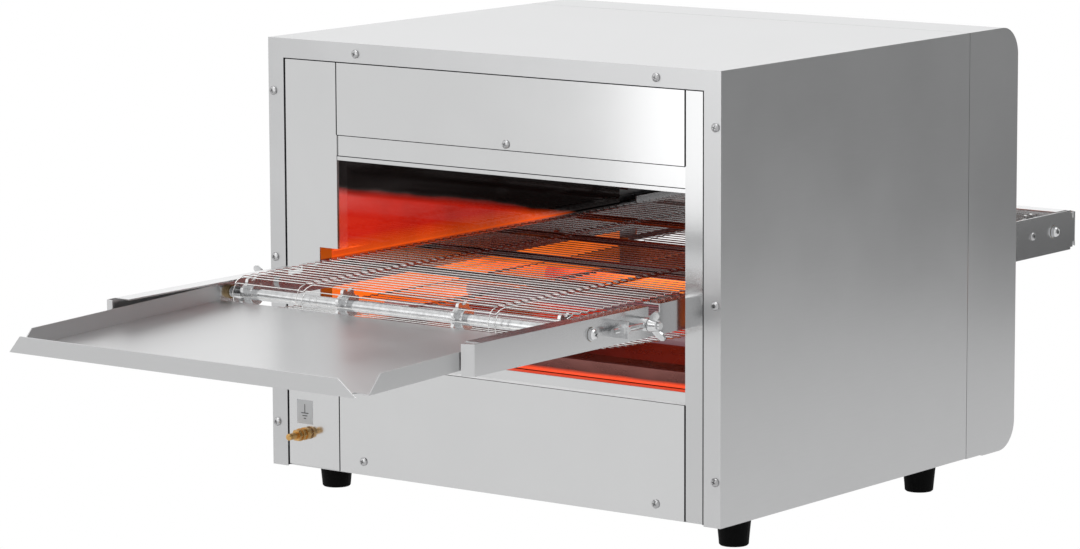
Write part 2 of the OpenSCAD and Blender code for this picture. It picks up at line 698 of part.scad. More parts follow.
// sheet tray with folded lips and open front corners
module catch_tray() on_belt() color(bright) translate([0, tray_y, tray_z]) rotate([tray_tilt, 0, 0]) {
    slab([-tray_w / 2, tray_w / 2], [-tray_l + 14, 0], [-tray_t, 0]);
    slab([-tray_w / 2 + 14, tray_w / 2 - 14], [-tray_l, -tray_l + 15], [-tray_t, 0]);
    both() along_x([tray_w / 2 - tray_t, tray_w / 2]) polygon([
        [0, -tray_t], [0, lip_h - tray_t - 3], [-3, lip_h - tray_t],
        [-tray_l + 14 + lip_h, lip_h - tray_t], [-tray_l + 14, -tray_t]]);
    translate([0, -tray_l, -tray_t]) rotate([lip_lean, 0, 0]) along_y([0, tray_t]) polygon([
        [-tray_w / 2 + 2, 0], [tray_w / 2 - 2, 0],
        [tray_w / 2 - 2 - lip_h, lip_h], [-tray_w / 2 + 2 + lip_h, lip_h]]);
}

// entry end: one bent channel with relieved corners round the belt's far turn
frame_z = [shaft_z - frame_down, shaft_z + frame_up];

module frame_path(r, h, y1) polygon(concat(
    [[h, depth + 5]], arc([h - r, y1 - r], r, 0, 90, 8),
    arc([-h + r, y1 - r], r, 90, 180, 8), [[-h, depth + 5]]));

module entry_end_frame() on_belt() color(bright) difference() {
    union() {
        translate([0, 0, frame_z[0] + 2.2]) linear_extrude(frame_up + frame_down - 4.8) difference() {
            frame_path(frame_r, half, frame_y);
            frame_path(frame_r - rail_t, half_in, frame_y - rail_t);
        }
        both() slab([half_in, half], [depth + 5, frame_y - frame_r - 6], frame_z);
        slab([-half + 14, half - 14], [frame_y - 18, frame_y - rail_t / 2],
             [frame_z[1] - 3.8, frame_z[1] - 2.6]);
    }
    both() {
        web_hole(drive_y, shaft_z, bush_d + 0.1);
        web_hole(frame_screw_y, shaft_z, screw_d + 0.3);
        slab([half_in - 1, half + 1], [frame_y - frame_r - 3, frame_y - rail_t - 1],
             [frame_z[1] - 8, frame_z[1] + 1]);
        slab([half_in - 1, half + 1], [frame_y - frame_r - 2, frame_y - rail_t - 3],
             [frame_z[0] + 1, frame_z[0] + 7]);
    }
}

module bush(y, x0, x1) both() translate([x0, y, shaft_z]) rotate([0, 90, 0]) difference() {
    cylinder(d = bush_d, h = x1 - x0, $fn = 64);
    translate([0, 0, -1]) cylinder(r = journal_d / 2 + run_fit, h = x1 - x0 + 2, $fn = 64);
}

module shaft_bushes() on_belt() color([0.55, 0.5, 0.42]) {
    bush(idler_y, half_in - 3.5, half);
    bush(drive_y, web_in - 3, half);
}

ear_y = -stud_out - 33;
rod_off = 8;
nut_fit = 0.3;
nut_seat = half + 11 + nut_fit;

// exit end belt tensioners: ear, screw and nuts on each outer rail
module belt_tensioners() on_belt() color(zinc) both() {
    slab([half, half + 1.4], [ear_y - 1, ear_y + 11], [shaft_z - 6, shaft_z + 6]);
    difference() {
        slab([half, half + 13], [ear_y - 1, ear_y + 0.8], [shaft_z - 7, shaft_z + 7]);
        rod_y(half + rod_off, [ear_y - 3, ear_y + 3], shaft_z, tension_d - 0.5);
    }
    rod_y(half + rod_off, [ear_y - 14, -stud_out - 6.3], shaft_z, tension_d);
    for (y = [ear_y - 1, ear_y + 4.8]) translate([half + rod_off, y, shaft_z])
        rotate([90, 30, 0]) cylinder(d = 9.2, h = 4, $fn = 6);
}

// studs on the inner rails with the collars that clamp the outer ones
module clamp_studs() on_belt() color(zinc) both() {
    rod_x([web_in - 2, nut_seat + 10.7], -stud_out, shaft_z, stud_d);
    rod_x([web_in - 3, web_in], -stud_out, shaft_z, 10);
    rod_x([half, half + 11], -stud_out, shaft_z, 12);
}

// wing nut along +X with its seat at X = 0
module wing_nut() difference() {
    union() {
        rotate([0, 90, 0]) rotate_extrude($fn = 48)
            polygon([[0, 0], [5.6, 0], [5.6, 1.2], [4.6, 7.6], [4.2, 8], [0, 8]]);
        for (s = [-1, 1]) rotate([s > 0 ? 20 : 200, 0, 0]) translate([0, -1.1, 0]) rotate([90, 0, 0])
            translate([0, 0, -2.2]) linear_extrude(2.2)
                polygon([[1, 3], [1.2, 6.5], [4.2, 10.6], [8, 13.4], [11.4, 13.2], [12.6, 10.4],
                         [11, 7.4], [8, 5.4], [7.6, 3]]);
    }
    translate([-1, 0, 0]) rotate([0, 90, 0]) cylinder(r = stud_d / 2 + 0.06, h = 20, $fn = 48);
}

module wing_nut_right() on_belt() color(bright) translate([nut_seat, -stud_out, shaft_z]) wing_nut();

module wing_nut_left() on_belt() color(bright) mirror([1, 0, 0])
    translate([nut_seat, -stud_out, shaft_z]) wing_nut();

// belt shaft with turned-down journals and an end screw and washer
module belt_shaft(y, web, left) {
    rod_x([-web + 0.3, web - 0.3], y, shaft_z, shaft_d);
    rod_x([-half - left, half + 0.3], y, shaft_z, journal_d);
    rod_x([half + 0.3, half + 1.6], y, shaft_z, 11.6);
    translate([half + 1.6, y, shaft_z]) rotate([0, 90, 0]) difference() {
        rotate_extrude($fn = 48)
            polygon([[0, -0.2], [4.6, -0.2], [4.6, 1.4], [3.6, 2.8], [1.8, 3.4], [0, 3.4]]);
        for (a = [0, 90]) rotate(a + 25) translate([-2.2, -0.45, 1.4]) cube([4.4, 0.9, 3]);
    }
}

module idler_shaft() on_belt() color(zinc) {
    belt_shaft(idler_y, half_in - 3.5, 0.3);
    rod_x([-half - 1.6, -half - 0.3], idler_y, shaft_z, 11.6);
}

module drive_shaft() on_belt() color(zinc) belt_shaft(drive_y, web_in - 3, chain_out + 5);

// belt sprockets: eight teeth that stand in the gaps between the strands
module belt_sprocket() rotate([90, 0, 90]) difference() {
    union() {
        translate([0, 0, -1.5]) linear_extrude(3)
            wheel2(belt_teeth, pitch_r, wire_d / 2 + 0.9, 1.1, 2.6, 1);
        translate([0, 0, -6]) cylinder(d = shaft_d + 8, h = 12, $fn = 64);
    }
    translate([0, 0, -8]) cylinder(d = shaft_d + 0.06, h = 16, $fn = 64);
}

module sprocket_set(y) on_belt() color(zinc) for (x = sprocket_xs)
    translate([x, y, shaft_z]) belt_sprocket();

module idler_sprockets() sprocket_set(idler_y);

module drive_sprockets() sprocket_set(drive_y);

// ------------------------------------------------------------------ drive

module chain_wheel(teeth, r, bore, hub) rotate([90, 0, 90]) difference() {
    union() {
        translate([0, 0, -tooth_w / 2]) linear_extrude(tooth_w)
            wheel2(teeth, r, 1.9, 1.3, 1.05, 0.5);
        translate([0, 0, tooth_w / 2 - 0.1]) cylinder(d = hub, h = 5.4, $fn = 48);
    }
    translate([0, 0, -10]) cylinder(d = bore + 0.06, h = 30, $fn = 48);
}

module driven_sprocket() on_belt() color(zinc)
    translate([chain_x, drive_y, shaft_z]) chain_wheel(driven_teeth, driven_r, journal_d, journal_d + 8);

module motor_sprocket() on_belt() color(zinc)
    translate([chain_x, motor_y, shaft_z]) mirror([1, 0, 0])
        chain_wheel(motor_teeth, motor_r, motor_shaft_d, motor_shaft_d + 6);

// closed outline of the chain at a distance from its pitch line
chain_tilt = asin((driven_r - motor_r) / (drive_y - motor_y));
function loop(e) = concat(
    arc([drive_y, 0], driven_r + e, -90 - chain_tilt, 90 + chain_tilt, 24),
    arc([motor_y, 0], motor_r + e, 90 + chain_tilt, 270 - chain_tilt, 20));

// side plates of the roller chain with its pins on both straight stretches
module drive_chain() on_belt() color([0.35, 0.35, 0.36]) translate([chain_x, 0, shaft_z]) {
    both() along_x([tooth_w / 2 + 0.3, tooth_w / 2 + 1.2]) difference() {
        polygon(loop(2.4));
        polygon(loop(-2.4));
    }
    n = floor((drive_y - motor_y) * cos(chain_tilt) / chain_pitch) - 1;
    for (s = [-1, 1], i = [1 : n]) let (
        a = s * (90 + chain_tilt),
        along = [cos(chain_tilt), s * sin(chain_tilt)],
        p = [motor_y, 0] + motor_r * [cos(a), sin(a)] + i * chain_pitch * along)
        rod_x([-tooth_w / 2 - 1.6, tooth_w / 2 + 1.6], p[0], p[1], 3.2);
}

motor_x = [-inner_w + 1.5, conv_x + chain_x - 7.8];
gear_x = motor_x[1] - 16;

module motor_shaft() place() color(zinc)
    rod_x([gear_x + 3.3, conv_x + chain_x + 2], motor_y, shaft_z, motor_shaft_d);

// gear motor across the left compartment, shaft towards the chain
module gear_motor() place() color(zinc) translate([0, motor_y, shaft_z]) {
    difference() {
        union() {
            slab([gear_x, motor_x[1]], [-34, 26], [-24, 24]);
            rod_x([motor_x[1] - 0.5, motor_x[1] + 0.6], 0, 0, 18);
        }
        rod_x([gear_x + 3, motor_x[1] + 2], 0, 0, motor_shaft_d + 2 * run_fit);
        for (y = [-29, 21], z = [-19, 19]) rod_x([gear_x - 1, motor_x[1] + 1], y, z, 4.2);
    }
    rod_x([motor_x[0], gear_x + 0.1], -6, 0, 44);
}

module motor_bracket() place() color(steel) difference() {
    union() {
        along_x([motor_x[1], motor_x[1] + 2]) polygon([
            [motor_y - 44, pan_z[1]], [pan_y[1], pan_z[1]], [motor_y + 32, 60],
            [motor_y + 32, shaft_z + 30], [motor_y - 44, shaft_z + 30]]);
        slab([motor_x[0] + 2, motor_x[1] + 1], [motor_y - 44, pan_y[1]], [pan_z[1], pan_z[1] + 2]);
    }
    rod_x([motor_x[1] - 3, motor_x[1] + 4], motor_y, shaft_z, 19);
    for (y = [-29, 21], z = [-19, 19])
        rod_x([motor_x[1] - 3, motor_x[1] + 4], motor_y + y, shaft_z + z, 4.2);
}

// cover over the chain beside the entry frame, open towards rail and housing
module chain_guard() on_belt() color(steel) {
    x = [chain_x - 8, -half];
    y = [depth + 0.3, drive_y + driven_r + 8];
    z = [shaft_z - driven_r - 8, shaft_z + driven_r + 8];
    along_x(x) difference() {
        polygon(concat([[y[0], z[0]]], arc([y[1] - 14, z[0] + 14], 14, -90, 0, 6),
            arc([y[1] - 14, z[1] - 14], 14, 0, 90, 6), [[y[0], z[1]]]));
        polygon(concat([[y[0] - 1, z[0] + 1]], arc([y[1] - 14, z[0] + 14], 13, -90, 0, 6),
            arc([y[1] - 14, z[1] - 14], 13, 0, 90, 6), [[y[0] - 1, z[1] - 1]]));
    }
    along_x([x[0], x[0] + 1]) polygon(concat([[y[0], z[0]]], arc([y[1] - 14, z[0] + 14], 14, -90, 0, 6),
        arc([y[1] - 14, z[1] - 14], 14, 0, 90, 6), [[y[0], z[1]]]));
}

// -------------------------------------------------------- control housing

step_y = cover_d + 27;
arc_z = corner_r - 1.5;

// wrap with rounded rear corners, a side sheet at each end and a flange
// under the cover's rear edge
module control_housing() place() color(steel) difference() {
    union() {
        along_x([-body_w / 2, body_w / 2]) polygon(concat(
            [[cover_d + seam_gap, -0.5], [step_y, -0.5], [step_y + 0.5, -1.5]],
            arc([depth - corner_r, arc_z], corner_r, -90, 0, 12),
            arc([depth - corner_r, body_h - corner_r], corner_r, 0, 90, 12),
            [[cover_d + seam_gap, body_h]]));
        slab([-inner_w + 0.3, inner_w - 0.3], [cover_d - 9, cover_d + 1],
             [body_h / 2, body_h - sheet - 0.3]);
    }
    difference() {
        along_x([-inner_w, inner_w]) polygon(concat(
            [[cover_d - 10, base_z - 0.3], [step_y, base_z - 0.3]],
            arc([depth - corner_r, arc_z], corner_r - sheet, -72, 0, 10),
            arc([depth - corner_r, body_h - corner_r], corner_r - sheet, 0, 90, 12),
            [[cover_d - 10, body_h - sheet]]));
        difference() {
            slab([-inner_w, inner_w], [cover_d - 9, cover_d + 10], [20, body_h - sheet]);
            slab([-inner_w + 1.3, inner_w - 1.3], [cover_d - 10, cover_d + 11], [19, body_h - sheet - 1.3]);
        }
    }
    slab([-inner_w, inner_w], [cover_d - 10, cover_d - 8.9], [0, body_h]);
    slab([opening_l, opening_r], [depth - 10, depth + 1], [opening_z, opening_z + entry_h]);
    slab([slot_l, opening_l + 1], [depth - 10, depth + 1],
         [shaft_z - driven_r - 5, shaft_z + driven_r + 5]);
    translate([gland_x, gland_y, -4]) cylinder(d = gland_d + 0.2, h = 8, $fn = 48);
    fascia_holes();
    for (x = baffle_screw_xs) rod_y(x, [depth - 5, depth + 1], baffle_screw_z, screw_d + 2 * screw_fit);
}

// openings that the housing and its fascia share
module fascia_holes() {
    y = [depth - 5, depth + 4];
    for (x = knob_xs) rod_y(x, y, knob_z, spindle_d + 5);
    slab([switch_x - switch_w / 2, switch_x + switch_w / 2], y,
         [knob_z - switch_h / 2, knob_z + switch_h / 2]);
    for (x = pilot_xs) rod_y(x, y, knob_z, pilot_d - 4);
}

module control_fascia() place() color([0.16, 0.16, 0.17]) difference() {
    slab([-fascia_x, fascia_x], [depth, depth + 1.5], [fascia_z, fascia_top]);
    fascia_holes();
}

baffle_screw_xs = [conv_x - half + 45.5, conv_x + half - 45.5];
baffle_screw_z = opening_z + entry_h + 7;
entry_low = opening_z + entry_h - 20;

// slotted strip that sets the height of the entry mouth
module entry_baffle() place() color(bright) difference() {
    union() {
        slab([opening_l + 2, opening_r - 2], [depth + 0.3, depth + 1.3],
             [entry_low, fascia_z - entry_travel / 2 - 0.6]);
        slab([opening_l + 2, opening_r - 2], [depth + 0.3, depth + 9], [entry_low, entry_low + 1]);
    }
    for (x = baffle_screw_xs) translate([x, depth + 3, baffle_screw_z]) rotate([90, 0, 0])
        linear_extrude(6) slots([0], [0], entry_travel + screw_d + 1.2, screw_d + 0.8);
}

module entry_screws() place() color(zinc) for (x = baffle_screw_xs)
    translate([x, depth + 1.6, baffle_screw_z]) mirror([0, 1, 0]) pan_screw(screw_l);

// fluted knob with a raised pointer; its spindle reaches back along -Y
module knob() difference() {
    union() {
        rotate([-90, 0, 0]) rotate_extrude($fn = 72)
            polygon([[0, 0], [knob_d / 2, 0], [knob_d / 2, 3], [knob_d / 2 - 3, 4.4],
                     [knob_d / 2 - 4.2, knob_h - 1.4], [knob_d / 2 - 5.6, knob_h], [0, knob_h]]);
        slab([-1.4, 1.4], [3, knob_h + 0.6], [2, knob_d / 2 - 2.6]);
        rod_y(0, [-knob_gap - sheet - 12, 1], 0, spindle_d);
    }
    for (a = [30 : 30 : 330]) rotate([0, a, 0]) translate([0, 5, knob_d / 2 + 0.6]) rotate([-90, 0, 0])
        cylinder(d = 8.4, h = knob_h, $fn = 32);
}

module knob_at(i) place() color(black) translate([knob_xs[i], depth + knob_gap, knob_z]) knob();

module knob_upper_heat() knob_at(0);

module knob_lower_heat() knob_at(1);

module knob_belt_speed() knob_at(2);

// regulators behind the fascia, each with a bush for its knob's spindle
module heat_regulators() place() color([0.3, 0.3, 0.32]) for (x = knob_xs) difference() {
    union() {
        slab([x - 21, x + 21], [depth - sheet - 26, depth - sheet - 0.3], [knob_z - 20, knob_z + 20]);
        rod_y(x, [depth - sheet - 0.4, depth + knob_gap - 0.5], knob_z, spindle_d + 4);
    }
    rod_y(x, [depth - sheet - 13, depth + 3], knob_z, spindle_d + 2 * run_fit);
}

module switch_frame() place() color(black) difference() {
    union() {
        slab([switch_x - switch_w / 2 - 2, switch_x + switch_w / 2 + 2], [depth + 1.5, depth + 3.5],
             [knob_z - switch_h / 2 - 2, knob_z + switch_h / 2 + 2]);
        slab([switch_x - switch_w / 2 + 0.2, switch_x + switch_w / 2 - 0.2], [depth - 22, depth + 2],
             [knob_z - switch_h / 2 + 0.2, knob_z + switch_h / 2 - 0.2]);
    }
    slab([switch_x - switch_w / 2 + 2, switch_x + switch_w / 2 - 2], [depth - 9, depth + 5],
         [knob_z - switch_h / 2 + 2, knob_z + switch_h / 2 - 2]);
    rod_x([switch_x - switch_w / 2 + 0.8, switch_x + switch_w / 2 - 0.8], depth - 3, knob_z, 3.1);
}

// see-saw rocker on a cross pin, dished on its outer face
module power_rocker() place() color([0.55, 0.06, 0.05]) translate([switch_x, depth - 3, knob_z]) {
    end = switch_h / 2 - 4;
    out = 8.2;
    sweep = asin(1 / 3);
    along_x([-switch_w / 2 + 2.5, switch_w / 2 - 2.5]) polygon(concat(
        [[-3, -3], [2, -end]], arc([out + 3 * end * cos(sweep), 0], 3 * end, 180 + sweep, 180 - sweep, 8),
        [[2, end], [-3, 3]]));
    rod_x([-switch_w / 2 + 1, switch_w / 2 - 1], 0, 0, 3);
}

module pilot_lights() place() color([0.95, 0.55, 0.1]) for (x = pilot_xs) translate([x, depth, knob_z]) {
    r = pilot_d / 2;
    rod_y(0, [-12, 1.6], 0, pilot_d - 4.2);
    rotate([-90, 0, 0]) rotate_extrude($fn = 40)
        polygon([[0, 1.5], [r, 1.5], [r, 2.6], [r - 1.5, 4.6], [r * 0.37, 5.6], [0, 5.8]]);
}

gland_d = 16;
gland_x = body_w / 2 - 55;
gland_y = cover_d + 15.5;

module cable_gland() place() color(black) translate([gland_x, gland_y, 0]) difference() {
    union() {
        translate([0, 0, -8.5]) cylinder(d = 22, h = 8, $fn = 6);
        translate([0, 0, -1]) cylinder(d = gland_d, h = 14, $fn = 48);
        translate([0, 0, pan_z[1]]) cylinder(d = 21, h = 5, $fn = 6);
        translate([0, 0, -13.5]) rotate_extrude($fn = 48)
            polygon([[0, 0], [6.5, 0], [8.5, 2], [8.5, 6], [0, 6]]);
    }
    translate([0, 0, -15]) cylinder(d = 8, h = 40, $fn = 32);
}

module terminal_block() place() color([0.9, 0.88, 0.82]) difference() {
    slab([gland_x - 42, gland_x - 16], [gland_y - 40, gland_y + 20], [pan_z[1], pan_z[1] + 18]);
    for (i = [0 : 4]) translate([gland_x - 29, gland_y - 34 + i * 12, pan_z[1] + 8])
        cylinder(d = 6, h = 12, $fn = 32);
}

// ------------------------------------------------------------------- build

outer_cover();
base_pan();
feet();
left_end_post();
right_end_post();
upper_end_panel();
lower_end_panel();
exit_baffle();
casing_screws();
earth_terminal();
chamber_liner();
liner_insulation();
upper_heaters();
lower_heaters();
heater_end_caps();
upper_reflector();
lower_reflector();
conveyor_rail_left();
conveyor_rail_right();
rail_spacers();
frame_screws();
rail_ties();
belt_top_run();
belt_bottom_run();
belt_turns();
extension_rail_left();
extension_rail_right();
tray_rest_rods();
catch_tray();
entry_end_frame();
shaft_bushes();
belt_tensioners();
clamp_studs();
wing_nut_left();
wing_nut_right();
idler_shaft();
idler_sprockets();
drive_shaft();
drive_sprockets();
driven_sprocket();
drive_chain();
motor_sprocket();
motor_shaft();
gear_motor();
motor_bracket();
chain_guard();
control_housing();
control_fascia();
entry_baffle();
entry_screws();
knob_upper_heat();
knob_lower_heat();
knob_belt_speed();
power_rocker();
switch_frame();
pilot_lights();
heat_regulators();
terminal_block();
cable_gland();
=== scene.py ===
"""Countertop conveyor pizza oven: finishes, some with painted glow and painted shade, wire belt, painted
shadow lines at the joints, print and studio round the frame.
"""

import logging
import math
from dataclasses import dataclass, field
from enum import Enum, IntEnum

import bpy
import numpy as np
from mathutils import Matrix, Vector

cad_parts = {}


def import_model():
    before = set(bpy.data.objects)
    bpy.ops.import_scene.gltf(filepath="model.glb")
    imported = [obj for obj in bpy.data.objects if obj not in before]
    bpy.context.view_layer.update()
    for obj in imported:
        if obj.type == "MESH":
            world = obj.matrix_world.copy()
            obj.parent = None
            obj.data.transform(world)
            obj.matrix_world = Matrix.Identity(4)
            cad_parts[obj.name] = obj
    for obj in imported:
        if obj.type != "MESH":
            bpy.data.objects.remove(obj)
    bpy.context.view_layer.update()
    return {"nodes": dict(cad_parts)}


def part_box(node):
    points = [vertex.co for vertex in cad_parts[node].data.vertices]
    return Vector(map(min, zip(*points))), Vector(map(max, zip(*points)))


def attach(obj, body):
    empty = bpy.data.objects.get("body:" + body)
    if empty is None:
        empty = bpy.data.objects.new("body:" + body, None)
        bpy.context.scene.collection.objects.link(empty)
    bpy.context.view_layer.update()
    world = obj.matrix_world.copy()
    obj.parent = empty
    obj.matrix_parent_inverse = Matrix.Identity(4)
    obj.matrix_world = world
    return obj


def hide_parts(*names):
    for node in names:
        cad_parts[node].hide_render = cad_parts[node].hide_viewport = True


log = logging.getLogger("oven")
Array = np.ndarray
Pair = tuple[float, float]
Triple = tuple[float, float, float]
Colour = Triple
MM = 0.001
SPREAD: Pair = (0.3, 0.7)  # where most values of a noise lie


class Axis(IntEnum):
    """Directions of the frame: across the belt, along it and up."""

    ACROSS = 0
    ALONG = 1
    UP = 2


# --------------------------------------------------------------------------- shader maths
class Signal:
    """One shader output that takes part in sums and products."""

    def __init__(self, graph: "Graph", socket: bpy.types.NodeSocket) -> None:
        """Keeps the socket and the graph that it belongs to."""
        self.graph = graph
        self.socket = socket

    def _math(self, how: str, other: "Signal | float", swap: bool = False) -> "Signal":
        """Joins this signal and another with one Math node, the other one first where swap is set."""
        pair = (other, self) if swap else (self, other)
        return self.graph.node("ShaderNodeMath", {"operation": how}, {0: pair[0], 1: pair[1]})

    def __add__(self, other: "Signal | float") -> "Signal":
        """Sum."""
        return self._math("ADD", other)

    def __radd__(self, other: float) -> "Signal":
        """Sum with the number first."""
        return self._math("ADD", other, True)

    def __sub__(self, other: "Signal | float") -> "Signal":
        """Difference."""
        return self._math("SUBTRACT", other)

    def __rsub__(self, other: float) -> "Signal":
        """Difference with the number first."""
        return self._math("SUBTRACT", other, True)

    def __mul__(self, other: "Signal | float") -> "Signal":
        """Product."""
        return self._math("MULTIPLY", other)

    def __rmul__(self, other: float) -> "Signal":
        """Product with the number first."""
        return self._math("MULTIPLY", other, True)

    def __abs__(self) -> "Signal":
        """Distance from nought."""
        return self.graph.node("ShaderNodeMath", {"operation": "ABSOLUTE"}, {0: self})

    def larger(self, other: "Signal") -> "Signal":
        """The larger of the two."""
        return self._math("MAXIMUM", other)

    def ramp(self, low: float, high: float, to_low: float = 0.0, to_high: float = 1.0) -> "Signal":
        """Maps the range low..high onto to_low..to_high and holds it there."""
        return self.graph.node("ShaderNodeMapRange", {"clamp": True},
                               {"Value": self, "From Min": low, "From Max": high,
                                "To Min": to_low, "To Max": to_high})

    def around(self, value: float, factors: Pair, span: Pair = SPREAD) -> "Signal":
        """A value times the first factor where this signal is low, and times the second where it is high."""
        return self.ramp(*span, value * factors[0], value * factors[1])


class Graph:
    """The node tree of one material or world while it is written."""

    def __init__(self, owner: bpy.types.Material | bpy.types.World) -> None:
        """Clears the owner's tree and gives it an output node.

        Args:
            owner: the material or world that the tree belongs to.
        """
        owner.use_nodes = True
        self.owner = owner
        self.tree = owner.node_tree
        self.tree.nodes.clear()
        kind = "World" if isinstance(owner, bpy.types.World) else "Material"
        self.output = self.tree.nodes.new(f"ShaderNodeOutput{kind}")

    @classmethod
    def material(cls, name: str) -> "Graph":
        """Starts a new material."""
        return cls(bpy.data.materials.new(name))

    def node(self, kind: str, settings: dict | None = None, inputs: dict | None = None,
             out: int | str = 0) -> Signal:
        """Makes a node, sets it up and wires its inputs.

        Args:
            kind: Blender's name of the node type.
            settings: attributes set on the node.
            inputs: socket name or number to a value or a Signal.
            out: the output that is handed back.

        Returns:
            The chosen output as a Signal.
        """
        made = self.tree.nodes.new(kind)
        for key, value in (settings or {}).items():
            setattr(made, key, value)
        for key, value in (inputs or {}).items():
            if isinstance(value, Signal):
                self.tree.links.new(value.socket, made.inputs[key])
            else:
                made.inputs[key].default_value = value
        return Signal(self, made.outputs[out])

    def where(self) -> Signal:
        """Object coordinates, in metres."""
        return self.node("ShaderNodeTexCoord", out="Object")

    def along(self, axis: Axis) -> Signal:
        """One of the Object coordinates, in metres."""
        return self.node("ShaderNodeSeparateXYZ", None, {0: self.where()}, out=int(axis))

    def noise(self, scale: float, detail: float = 2.0, rough: float = 0.5,
              stretch: Triple = (1.0, 1.0, 1.0)) -> Signal:
        """Soft noise between 0 and 1.

        Args:
            scale: how many spots lie in a metre.
            detail: how many finer layers lie over it.
            rough: how strong the finer layers are.
            stretch: the coordinates' factor along each axis.

        Returns:
            The noise.
        """
        at = self.node("ShaderNodeMapping", None, {"Vector": self.where(), "Scale": stretch})
        return self.node("ShaderNodeTexNoise", {"noise_dimensions": "3D"},
                         {"Vector": at, "Scale": scale, "Detail": detail, "Roughness": rough})

    def blend(self, amount: Signal, low: "Colour | Signal", high: "Colour | Signal") -> Signal:
        """Colour between two others, each a plain colour or a Signal."""
        ends = [(*end, 1.0) if isinstance(end, tuple) else end for end in (low, high)]
        return self.node("ShaderNodeMix", {"data_type": "RGBA"}, {0: amount, 6: ends[0], 7: ends[1]}, out=2)

    def mottle(self, spots: Signal, colour: Colour, share: float) -> Signal:
        """The colour, darker and lighter by a share as the spots go."""
        return self.blend(spots.ramp(*SPREAD), shade(colour, 1 - share), shade(colour, 1 + share))

    def bump(self, height: Signal, depth: float, strength: float = 1.0) -> Signal:
        """Bump whose height of 1 stands for the given depth in metres."""
        return self.node("ShaderNodeBump", None,
                         {"Height": height, "Distance": depth, "Strength": strength})

    def seen(self) -> Signal:
        """1 for rays from the camera, off gloss and through glass, and 0 for all others."""
        camera, gloss, glass = (self.node("ShaderNodeLightPath", out=f"Is {kind} Ray")
                                for kind in ("Camera", "Glossy", "Transmission"))
        return camera.larger(gloss).larger(glass)

    def close(self, shader: Signal) -> bpy.types.Material | bpy.types.World:
        """Links the shader to the output and hands back the owner."""
        self.tree.links.new(shader.socket, self.output.inputs["Surface"])
        return self.owner

    def finish(self, **sockets: "Signal | float | tuple") -> bpy.types.Material:
        """Adds the surface shader and closes the material.

        Args:
            sockets: shader socket names with _ for a space, to values or Signals.

        Returns:
            The finished material.
        """
        inputs = {key.replace("_", " "): value for key, value in sockets.items()}
        return self.close(self.node("ShaderNodeBsdfPrincipled", None, inputs))


def shade(colour: Colour, factor: float) -> Colour:
    """The colour made darker or lighter by a factor."""
    return tuple(min(1.0, c * factor) for c in colour)


# --------------------------------------------------------------------------- finishes
class Grain(Enum):
    """Direction that a sheet was brushed or rolled in, as the stretch of its grain lines."""

    ACROSS = (1.0, 60.0, 60.0)
    ALONG = (60.0, 1.0, 60.0)
    UPRIGHT = (60.0, 60.0, 1.0)


@dataclass(frozen=True)
class PaintedChamberLight:
    """Painted light on a chamber sheet: near-black painted shade at the top and a painted glow of the heaters
    below it, red above and orange at the bottom.

    The painted shade's edge sinks towards the rear: it is where height + fall * depth + ripple * cloud
    reaches painted_shade_edge, the level at which the painted glow fades out. In front of the front line the
    sheet keeps its own colour.
    """

    # how far the top of the sheet is painted towards black, as painted shade
    painted_shade: float
    front: float = -1.0
    front_blur: float = 0.0015
    fall: float = 0.179
    ripple: float = 0.012
    painted_shade_edge: Pair = (0.263, 0.272)
    glow_edge: Pair = (0.262, 0.27)
    glow_foot: Pair = (0.15, 0.158)
    orange_to_red: Pair = (0.195, 0.232)
    dimmest: float = 0.55
    # colour of the painted shade at the top
    black: Colour = (0.02, 0.018, 0.018)
    orange: Colour = (0.95, 0.17, 0.012)
    red: Colour = (0.52, 0.01, 0.003)

    def lay(self, g: Graph, unpainted: Signal, cloud: Signal) -> tuple[Signal, Signal]:
        """Paints the shade and the heaters' glow onto a sheet's colour.

        Args:
            g: the material's graph.
            unpainted: the sheet's own colour.
            cloud: the sheet's soft clouds.

        Returns:
            The colour with its painted shade, and the painted glow.
        """
        depth, height = g.along(Axis.ALONG), g.along(Axis.UP)
        inside = depth.ramp(self.front, self.front + self.front_blur)
        level = height + depth * self.fall + cloud * self.ripple
        # painted shade: near black above the level where the painted glow stops
        with_painted_shade = g.blend(level.ramp(*self.painted_shade_edge, 0.0, self.painted_shade) * inside, unpainted, self.black)
        # painted light: the heaters' glow painted on the sheet as emission, red higher up and orange lower
        # down
        lit = level.ramp(*self.glow_edge, 1.0, 0.0) * height.ramp(*self.glow_foot)
        hot = g.blend(height.ramp(*self.orange_to_red), self.orange, self.red)
        patchy = lit * cloud.ramp(0.3, 0.6, self.dimmest, 1.0)
        return with_painted_shade, g.blend(patchy * inside, (0.0, 0.0, 0.0), hot)


